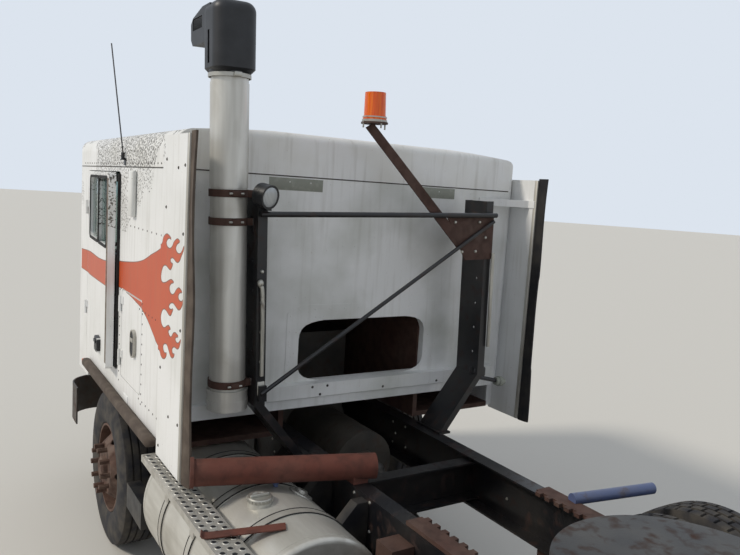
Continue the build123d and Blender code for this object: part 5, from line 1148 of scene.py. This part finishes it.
class TRACTOR_OT_rack(bpy.types.Operator):
    """Clamp the intake stack, glaze the lamp, seat the beacon and fit the posts' conduits"""

    bl_idname = "tractor.rack"
    bl_label = "Rack"

    def execute(self, context):
        self.stack()
        self.lamps()
        self.posts()
        return {"FINISHED"}

    def stack(self):
        """Bands, clamp and rings of the intake stack, and the bars across its hood's mouths."""
        bands, bolts = [], []
        for z in BAND_PLACES:
            bands += [
                hoop(0.091, 0.0965, z - 0.001, z + 0.035, STACK, Z_AXIS),
                block_at(STACK, (-0.102, 0.037, z - 0.001), (-0.060, 0.063, z + 0.035), 0.003),
                block_at(STACK, (-0.022, 0.094, z + 0.004), (0.022, 0.112, z + 0.030), 0.004),
            ]
            ends = [STACK + (x, 0.105, z + 0.017) for x in (-0.036, 0.036)]
            bolts.append(tube(line_of(*ends, 6), 0.005, 8))
        piece("stack_bands", [leaned(part) for part in bands], "rust", "chassis")
        clamp = hoop(0.0975, 0.1015, 2.9625, 2.9805, STACK, Z_AXIS)
        worm = block_at(STACK, (-0.020, 0.098, 2.961), (0.020, 0.114, 2.983), 0.004)
        bolts += [clamp, worm]
        piece("stack_clamp", [leaned(part) for part in bolts], "zinc", "chassis")
        collar = hoop(0.088, 0.1035, 1.380, 1.402, STACK, Z_AXIS)
        bead = hoop(0.088, 0.1030, 1.446, 1.4545, STACK, Z_AXIS)
        piece("stack_foot_rings", [leaned(collar), leaned(bead)], "stack", "chassis")
        grid = []
        for x in (0.7655, 0.9545):
            bar = rounded_block((x - 0.003, -0.003, 3.203), (x + 0.003, 0.003, 3.252), 0.001)
            grid.append(scattered(bar, [from_axle(0, y, 0) for y in np.linspace(1.207, 1.318, 8)]))
        piece("hood_grid", [leaned(part) for part in grid], "hood", "chassis")

    def lamps(self):
        """Lens, rim and fins of the work lamp, skirt and screws of the beacon."""
        centre, axis = from_axle(0.745, 1.6107, 2.419), np.array((-0.369, 0.913, -0.174))
        dome = ((0.0305, 0.0), (0.0305, 0.049), (0.036, 0.047), (0.041, 0.032), (0.0425, 0.0))
        lens = turned(dome, centre, axis, 40)
        piece("work_lamp_lens", [leaned(lens)], "lens", "chassis")
        rims = [hoop(0.0485, 0.058, 0.027, 0.037, centre, axis)]
        rims += [hoop(0.050, 0.0572, z, z + 0.004, centre, axis) for z in (-0.024, -0.012, 0.0)]
        rims = [leaned(part) for part in rims]
        piece("work_lamp_rim", rims, "hood", "chassis")
        low, high = sizes_of("beacon_lamp")
        x, y = (low[0] + high[0]) / 2, (low[1] + high[1]) / 2
        foot = np.array((x, y, low[2] + 0.001))
        skirt = hoop(0.0605, 0.0655, 0.0, 0.012, foot, Z_AXIS)
        lip = hoop(0.0605, 0.0635, 0.022, 0.028, foot, Z_AXIS)
        screws = [
            block_at(foot, (dx - 0.004, dy - 0.004, -0.032), (dx + 0.004, dy + 0.004, 0.006), 0.002)
            for dx, dy in ((0.0655, 0), (-0.0655, 0), (0, 0.0655))
        ]
        piece("beacon_skirt", [skirt, lip, *screws], "zinc", "chassis")

    def posts(self):
        """Conduits and bolts of the posts, and the trailer plug on its bracket."""
        left = (
            (0.742, 1.571, 1.985), (0.734, 1.574, 1.94), (0.731, 1.572, 1.70), (0.731, 1.570, 1.53),
        )
        turn = np.linspace(-math.pi / 2, math.pi / 2, 9)
        ball = np.stack([0.012 * np.sin(turn) * 1.6, 0.016 * np.cos(turn)], -1)
        eye = turned(ball, from_axle(0.744, 1.571, 1.995), Z_AXIS, 14)
        right = (
            (-0.695, 1.580, 2.131), (-0.703, 1.580, 1.90), (-0.713, 1.578, 1.70),
            (-0.722, 1.572, 1.561),
        )
        pipes = [
            tube(smooth_path(path, 20), size, 10) for path, size in ((left, 0.010), (right, 0.011))
        ]
        conduits = [leaned(pipes[0]), leaned(eye), pipes[1]]
        piece("post_conduits", conduits, "zinc", "chassis")
        body = ((0.0, 0.0), (0.0, 0.024), (0.022, 0.026), (0.024, 0.031))
        body += ((0.050, 0.031), (0.052, 0.020), (0.075, 0.018), (0.075, 0.0))
        plug = turned(body, from_axle(-0.865, 1.510, 1.318), (-0.97, 0.0, -0.12), 20)
        piece("trailer_plug", [plug], "tape", "chassis")
        path = (-0.655, 1.510, 1.372), (-0.75, 1.510, 1.350), (-0.870, 1.510, 1.320)
        stem = tube(smooth_path(path, 12), 0.013, 10)
        bracket = block((-0.755, 1.480, 1.365), (-0.662, 1.545, 1.425), 0.010)
        piece("plug_bracket", [stem, bracket], "black", "chassis")
        bolt = rivet(0.010, 0.008, Y_AXIS)
        places = [from_axle(0.732, 1.5605, z) for z in (2.05, 1.90, 1.75, 1.60, 1.48)]
        plate = block((0.712, 1.559, 1.430), (0.750, 1.566, 1.500), 0.002)
        rack = leaned(scattered(bolt, places)), leaned(plate)
        spots = (-0.62, 2.29), (-0.44, 2.29), (-0.60, 2.12), (-0.50, 2.12), (-0.67, 2.20)
        gusset = leaned(scattered(bolt, [from_axle(x, 1.5705, z) for x, z in spots]))
        piece("rack_bolts", [*rack, gusset], "zinc", "chassis")


TANK = from_axle(0.815, 0.0, 0.690)
TANK_RADIUS = 0.350
STRAP_PLACES = (1.360, 1.760, 2.100)
DECK_ROWS, DECK_END, HOLE_PITCH = (1.088, 1.130, 1.172), 2.30, 0.050
FILLER = from_axle(0.892, 1.941, 1.0574)


def tank_hoop(inner, outer, start, end):
    """Band round the tank between two heights over its skin and two places along it."""
    return hoop(TANK_RADIUS + inner, TANK_RADIUS + outer, start, end, TANK, Y_AXIS, 72)


class TRACTOR_OT_tank(bpy.types.Operator):
    """Strap the tank, cap its filler, punch the step deck and lay the rusty bar across it"""

    bl_idname = "tractor.tank"
    bl_label = "Tank"

    def execute(self, context):
        straps, liners = [], []
        for y in STRAP_PLACES:
            straps.append(tank_hoop(0.004, 0.0058, y - 0.020, y + 0.020))
            for edge in (y - 0.0275, y + 0.0215):
                liners.append(tank_hoop(0.002, 0.0066, edge, edge + 0.006))
        piece("tank_straps", straps, "trim", "chassis")
        piece("strap_liners", liners, "flap", "chassis")
        seams = [tank_hoop(-0.001, 0.0014, y, y + 0.005) for y in (1.052, 2.322)]
        piece("tank_seams", seams, "tank", "chassis")
        self.cap()
        self.deck()
        return {"FINISHED"}

    def cap(self):
        """Filler cap, a knurled disc with a grip across it, then a sender flange and a breather."""
        turn = np.linspace(0, 2 * math.pi, 24, endpoint=False)
        lid = ((-0.012, 0.0), (-0.012, 0.057), (0.004, 0.057), (0.008, 0.052))
        lid += ((0.008, 0.040), (0.005, 0.038), (0.005, 0.0))
        disc = turned(lid, FILLER, Z_AXIS, 48)
        knurl = rounded_block((-0.003, -0.003, -0.010), (0.003, 0.003, 0.003), 0.001)
        round_it = 0.0575 * np.stack([np.cos(turn), np.sin(turn), np.zeros_like(turn)], -1)
        rim = scattered(knurl, FILLER + round_it)
        grip = block_at(FILLER, (-0.046, -0.007, 0.002), (0.046, 0.007, 0.019), 0.004)
        piece("filler_cap", [disc, rim, grip], "zinc", "chassis")
        flange = (
            (0.0, 0.0), (0.0, 0.062), (0.007, 0.060), (0.007, 0.030), (0.022, 0.028), (0.022, 0.0)
        )
        ring = turned(flange, from_axle(0.640, 1.850, 0.990), (-0.5, 0, 0.866), 32)
        piece("tank_sender", [ring], "deck", "chassis")
        pot = (
            (-0.010, 0.0), (-0.010, 0.012), (0.012, 0.012), (0.014, 0.017), (0.026, 0.017),
            (0.030, 0.0),
        )
        breather = turned(pot, from_axle(0.757, 1.814, 1.037), Z_AXIS, 12)
        piece("tank_breather", [breather], "blue", "chassis")

    def deck(self):
        """Three staggered rows of holes, each a rim round a dark disc of painted shade in the open
        hole, and a loose flat bar.
        """
        lip = ((0.0, 0.0165), (0.0024, 0.0150), (0.0024, 0.0125), (0.0, 0.0120), (0.0, 0.0165))
        # Dark disc: painted shade, a black sheet where the hole would show through.
        disc = ((-0.001, 0.0), (-0.001, 0.0122), (0.0007, 0.0122), (0.0007, 0.0))
        rim, dark = (turned(profile, np.zeros(3), Z_AXIS, 10) for profile in (lip, disc))
        places = []
        for row, x in enumerate(DECK_ROWS):
            start = 1.135 + HOLE_PITCH / 2 * (row % 2)
            places += [from_axle(x, y, 1.0) for y in np.arange(start, DECK_END, HOLE_PITCH)]
        piece("deck_hole_rims", [scattered(rim, places)], "deck", "chassis")
        piece("deck_hole_shade_discs", [scattered(dark, places)], "hood", "chassis")
        path = [
            (1.206, 2.071, 1.018), (1.188, 2.079, 1.006), (1.10, 2.114, 1.014),
            (0.885, 2.200, 1.0385),
        ]
        across = np.array((0.373, 0.928, 0.0))
        bar = strip(smooth_path(path, 16), across, 0.055, 0.005)
        piece("loose_flat_bar", [bar], "red_rust", "chassis")


RAIL_BOLTS = (
    (1.064, 0.969), (1.098, 0.901), (1.203, 0.977), (1.074, 0.837), (1.219, 0.846), (1.631, 1.003),
    (1.640, 0.869), (1.770, 1.010), (1.780, 0.876), (1.999, 1.022), (2.139, 1.029), (2.149, 0.893),
    *((y, z) for y in (3.05, 3.35, 3.65, 3.95, 4.25, 4.55) for z in (0.86, 0.98)),
)
WHEEL_FACES = (("front", "wheel", 0.985), ("drive", "wheels", 1.085), ("rear", "wheels", 1.085))


class TRACTOR_OT_chassis_fittings(bpy.types.Operator):
    """Bolt the rails, hang the fender tube and fit the wheels' valve stems"""

    bl_idname = "tractor.chassis_fittings"
    bl_label = "Chassis fittings"

    def execute(self, context):
        # Pale zinc bolt heads, partly set where daylight shows through the rails' web holes, their
        # pale dots standing in for that light.
        head = rivet(0.009, 0.006, X_AXIS)
        rows = []
        for x in (-0.4222, 0.4318):
            bolts = scattered(head, [from_axle(x, y, z) for y, z in RAIL_BOLTS])
            rows += [bolts, mirrored(bolts)]
        piece("rail_bolts_and_light_dots", rows, "zinc", "chassis")
        ends = from_axle(-0.400, 2.590, 1.0795), from_axle(-0.885, 2.669, 1.0795)
        fender = tube(line_of(*ends, 10), 0.028, 20)
        piece("fender_tube_right", [fender], "blue", "chassis")
        for name, side in SIDES:
            for axle, kind, x in WHEEL_FACES:
                low, high = sizes_of(f"{kind}_{axle}_{name}")
                middle = (low + high) / 2
                start = np.array((side * x, middle[1] + 0.16, middle[2] + 0.13))
                stem = tube(line_of(start, start + (side * 0.045, 0.012, 0.010), 5), 0.0045, 8)
                body = f"{name}_{axle}_{kind}"
                piece(f"valve_stem_{body}", [stem], "zinc", body)
        return {"FINISHED"}


class TRACTOR_OT_front(bpy.types.Operator):
    """Glaze the headlamps, and give the windscreen its gaskets and wipers"""

    bl_idname = "tractor.front"
    bl_label = "Front"

    def execute(self, context):
        low, high = sizes_of("headlamps")
        middle = high[0] - 0.170
        lenses = []
        for x in (middle - 0.082, middle + 0.082):
            outline = rounded_outline(0.142, 0.150, 0.018)
            face = np.array((x, low[1] + 0.004, (low[2] + high[2]) / 2))
            levels = ((0, 1), (0.004, 0.97), (0.006, 0.6))
            lenses.append(raised_form(outline, face, X_AXIS, Z_AXIS, levels))
        lenses += [mirrored(lens) for lens in lenses]
        piece("headlamp_lenses", lenses, "lens", "cab")
        low, high = sizes_of("windscreen")
        gaskets, wipers = [], []
        for side in (LEFT, RIGHT):
            width, height = high[0] - 0.025, high[2] - low[2]
            centre = np.array((side * (0.025 + width / 2), low[1] - 0.020, (low[2] + high[2]) / 2))
            outer = rounded_outline(width + 0.030, height + 0.030, 0.07)
            inner = rounded_outline(width - 0.010, height - 0.010, 0.05)
            gaskets.append(frame_ring(outer, inner, centre, X_AXIS, Z_AXIS, 0.006))
            foot = np.array((side * 0.22, low[1] - 0.030, low[2] - 0.030))
            tip = np.array((side * 0.52, low[1] - 0.014, low[2] + 0.300))
            wipers.append(tube(line_of(foot, tip, 8), 0.005, 8))
            blade = line_of(tip - (side * 0.10, 0, 0.21), tip + (side * 0.05, 0, 0.21), 10)
            wipers.append(strip(blade, Y_AXIS, 0.014, 0.006))
            boss = ((-0.012, 0.0), (-0.012, 0.018), (0.012, 0.016), (0.014, 0.0))
            wipers.append(turned(boss, foot, -Y_AXIS, 16))
        piece("windscreen_gaskets", gaskets, "flap", "cab")
        piece("windscreen_wipers", wipers, "hood", "cab")
        return {"FINISHED"}


class TRACTOR_OT_interior(bpy.types.Operator):
    """Upholster the seats and the bunk, whose CAD solids are plain blocks"""

    bl_idname = "tractor.interior"
    bl_label = "Interior"

    def execute(self, context):
        low, high = sizes_of("seats")
        width = 0.49
        x0, x1 = high[0] - width, high[0]
        y0, floor = low[1], low[2]
        seat, back, stand = [], [], []
        for side in (LEFT, RIGHT):
            corners = (x0, y0, floor + 0.295), (x1, y0 + 0.49, floor + 0.445)
            seat.append(on_side(cushion(*corners, 0.012, (-0.45, 0.45), 0), side))
            corners = (x0 + 0.01, -0.055, 0.0), (x1 - 0.01, 0.060, 0.68)
            points, quads = cushion(*corners, 0.014, (-0.5, 0.1, 0.6), 2)
            rake = math.atan2(0.125, 0.650)
            y = points[:, 1] * math.cos(rake) + points[:, 2] * math.sin(rake)
            z = points[:, 2] * math.cos(rake) - points[:, 1] * math.sin(rake)
            moved = np.stack([points[:, 0], y + y0 + 0.435, z + floor + 0.390], -1)
            back.append(on_side((moved, quads), side))
            corners = (x0 + 0.09, y0 + 0.07, floor), (x1 - 0.09, y0 + 0.43, floor + 0.297)
            stand.append(on_side(rounded_block(*corners, 0.02), side))
        bases = piece("seat_cushions", seat, "cloth", "cab", 60)
        backs = piece("seat_backs", back, "cloth", "cab", 60)
        stands = piece("seat_stands", stand, "black", "cab")
        for made in (bases, backs, stands):
            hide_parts("seats")
        low, high = sizes_of("bunk")
        pad = cushion(low, high + (0, 0, 0.004), 0.010, (-0.5, 0.0, 0.5), 0)
        mattress = piece("bunk_mattress", [pad], "cloth", "cab", 60)
        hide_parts("bunk")
        return {"FINISHED"}


class TRACTOR_OT_studio(bpy.types.Operator):
    """Lay the pale floor, set sun and sky, and place the camera where the photograph was taken"""

    bl_idname = "tractor.studio"
    bl_label = "Studio"

    def execute(self, context):
        setup = context.scene.tractor_studio
        self.floor(setup)
        self.sky(context, setup)
        self.sun(setup)
        self.camera(context, setup)
        context.scene.view_settings.view_transform = "Standard"
        return {"FINISHED"}

    def floor(self, setup):
        """Flat round sheet of pale concrete, far wider than the truck."""
        turn = np.linspace(0, 2 * math.pi, 96, endpoint=False)
        radii = np.array((0.0, 4.0, 12.0, 40.0, 90.0))
        rays = np.stack([np.cos(turn), np.sin(turn), np.zeros_like(turn)], -1)
        points = radii[:, None, None] * rays[None]
        surface = points.reshape(-1, 3), grid_quads(len(radii), len(turn), wrap_columns=True)
        part, faces = welded(surface)
        mesh = bpy.data.meshes.new("studio_floor")
        mesh.from_pydata(part.tolist(), [], faces)
        material = bpy.data.materials.new("pale_concrete")
        material.use_nodes = True
        shader = material.node_tree.nodes["Principled BSDF"]
        shader.inputs["Base Color"].default_value = (*setup.floor_colour, 1.0)
        shader.inputs["Roughness"].default_value = 0.9
        mesh.materials.append(material)
        made = bpy.data.objects.new("studio_floor", mesh)
        bpy.context.scene.collection.objects.link(made)

    def sky(self, context, setup):
        """Even pale light all round; camera, glossy and see-through rays get the plain backdrop."""
        world = bpy.data.worlds.new("studio_sky")
        context.scene.world = world
        world.use_nodes = True
        tree = world.node_tree
        tree.nodes.clear()
        ray = add_node(tree, "ShaderNodeLightPath")
        seen = maths(tree, "MAXIMUM", ray.outputs["Is Camera Ray"], ray.outputs["Is Glossy Ray"])
        seen = maths(tree, "MAXIMUM", seen, ray.outputs["Is Transmission Ray"])
        light = add_node(
            tree, "ShaderNodeBackground", {"Color": linear("#E9EEF5"), "Strength": setup.sky_level}
        )
        backdrop = add_node(
            tree, "ShaderNodeBackground", {"Color": (*setup.backdrop_colour, 1.0), "Strength": 1.0}
        )
        both = add_node(
            tree, "ShaderNodeMixShader", {0: seen, 1: light.outputs[0], 2: backdrop.outputs[0]}
        )
        add_node(tree, "ShaderNodeOutputWorld", {"Surface": both.outputs[0]})

    def sun(self, setup):
        """Wide soft sun from high on the truck's front left, as in the photograph."""
        lamp = bpy.data.lights.new("soft_sun", "SUN")
        lamp.energy = setup.sun_level
        lamp.angle = math.radians(9)
        lamp.color = linear("#FFF6E8")[:3]
        made = bpy.data.objects.new("soft_sun", lamp)
        tilt = Matrix.Rotation(math.radians(setup.sun_tilt), 4, "X")
        made.matrix_world = Matrix.Rotation(math.radians(setup.sun_azimuth), 4, "Z") @ tilt
        bpy.context.scene.collection.objects.link(made)

    def camera(self, context, setup):
        """Camera behind and to the left, turned by yaw, pitch and roll from looking along -Y."""
        yaw, pitch, roll = setup.camera_turn
        forward = np.array(
            (math.sin(yaw) * math.cos(pitch), -math.cos(yaw) * math.cos(pitch), math.sin(pitch))
        )
        right = np.cross(forward, Z_AXIS)
        right /= np.linalg.norm(right)
        up = np.cross(right, forward)
        level = right * math.cos(roll) + up * math.sin(roll)
        upright = -right * math.sin(roll) + up * math.cos(roll)
        data = bpy.data.cameras.new("photograph_camera")
        data.sensor_width = 36.0
        data.lens = setup.lens
        data.clip_end = 300.0
        made = bpy.data.objects.new("photograph_camera", data)
        place = Matrix.Identity(4)
        spot = from_axle(*setup.camera_place)
        for column, direction in enumerate((level, upright, -forward, spot)):
            for row in range(3):
                place[row][column] = float(direction[row])
        made.matrix_world = place
        context.scene.collection.objects.link(made)
        context.scene.camera = made


COLOUR = {"subtype": "COLOR", "size": 3, "min": 0, "max": 1}


class TractorFinish(bpy.types.PropertyGroup):
    """Colours of the truck's paint"""

    cab_white: bpy.props.FloatVectorProperty(
        name="Cab white", description="Enamel of the cab where it is clean",
        default=linear("#E8E9E9")[:3], **COLOUR,
    )
    flame_red: bpy.props.FloatVectorProperty(
        name="Flame red", description="Stripe and flames on the cab's sides",
        default=linear("#C24E22")[:3], **COLOUR,
    )


class TractorSizes(bpy.types.PropertyGroup):
    """Sizes of the pieces that dress the frame"""

    tread_depth: bpy.props.FloatProperty(
        name="Tread depth", description="Depth of the tyres' grooves", default=0.014, min=0.002,
        max=0.03, unit="LENGTH",
    )
    tread_pitches: bpy.props.IntProperty(
        name="Tread pitches", description="Pairs of lugs round a drive tyre", default=46, min=20,
        max=80,
    )
    rivet_radius: bpy.props.FloatProperty(
        name="Rivet radius", description="Radius of a panel rivet's head", default=0.006, min=0.002,
        max=0.02, unit="LENGTH",
    )


class TractorStudio(bpy.types.PropertyGroup):
    """Floor, light and camera"""

    floor_colour: bpy.props.FloatVectorProperty(
        name="Floor colour", description="Colour of the pale floor", default=linear("#D3D1CB")[:3],
        **COLOUR,
    )
    backdrop_colour: bpy.props.FloatVectorProperty(
        name="Backdrop colour", description="Plain colour behind the truck",
        default=linear("#DCE4EE")[:3], **COLOUR,
    )
    sky_level: bpy.props.FloatProperty(
        name="Sky level", description="Strength of the even light", default=0.62, min=0, max=2
    )
    sun_level: bpy.props.FloatProperty(
        name="Sun level", description="Strength of the soft sun", default=1.9, min=0, max=10
    )
    sun_azimuth: bpy.props.FloatProperty(
        name="Sun azimuth", description="Turn of the sun about the vertical, in degrees",
        default=72.0,
    )
    sun_tilt: bpy.props.FloatProperty(
        name="Sun tilt", description="Angle of the sun from straight overhead, in degrees",
        default=52.0,
    )
    camera_place: bpy.props.FloatVectorProperty(
        name="Camera place", description="Camera from the front axle on the ground", subtype="XYZ",
        unit="LENGTH", size=3, default=(2.1431, 4.7183, 2.4492),
    )
    camera_turn: bpy.props.FloatVectorProperty(
        name="Camera turn", description="Yaw, pitch and roll in radians", size=3,
        default=(-0.5649, -0.1219, 0.0635),
    )
    lens: bpy.props.FloatProperty(
        name="Lens", description="Focal length on a 36 mm wide sensor, in millimetres",
        default=34.34,
    )


STEPS = (
    TRACTOR_OT_finishes,
    TRACTOR_OT_tyres,
    TRACTOR_OT_cab_trim,
    TRACTOR_OT_doors,
    TRACTOR_OT_flames,
    TRACTOR_OT_extenders,
    TRACTOR_OT_rack,
    TRACTOR_OT_tank,
    TRACTOR_OT_chassis_fittings,
    TRACTOR_OT_front,
    TRACTOR_OT_interior,
    TRACTOR_OT_studio,
)


class VIEW3D_PT_tractor(bpy.types.Panel):
    """Sizes, colours and steps of the tractor"""

    bl_label = "Cab-over tractor"
    bl_space_type = "VIEW_3D"
    bl_region_type = "UI"
    bl_category = "Tractor"

    def draw(self, context):
        for group in ("tractor_finish", "tractor_sizes", "tractor_studio"):
            settings = getattr(context.scene, group)
            for name in settings.bl_rna.properties.keys():
                if name not in ("rna_type", "name"):
                    self.layout.prop(settings, name)
        for step in STEPS:
            self.layout.operator(step.bl_idname)


CLASSES = (TractorFinish, TractorSizes, TractorStudio, *STEPS, VIEW3D_PT_tractor)


def register():
    """Register the classes and hang the settings on the scene."""
    for cls in CLASSES:
        bpy.utils.register_class(cls)
    bpy.types.Scene.tractor_finish = bpy.props.PointerProperty(type=TractorFinish)
    bpy.types.Scene.tractor_sizes = bpy.props.PointerProperty(type=TractorSizes)
    bpy.types.Scene.tractor_studio = bpy.props.PointerProperty(type=TractorStudio)


def unregister():
    """Take the settings and the classes away again."""
    del bpy.types.Scene.tractor_finish
    del bpy.types.Scene.tractor_sizes
    del bpy.types.Scene.tractor_studio
    for cls in reversed(CLASSES):
        bpy.utils.unregister_class(cls)


def main():
    """Register and run every step in order."""
    register()
    for step in STEPS:
        group, name = step.bl_idname.split(".")
        getattr(getattr(bpy.ops, group), name)()


if __name__ == "__main__":
    main()
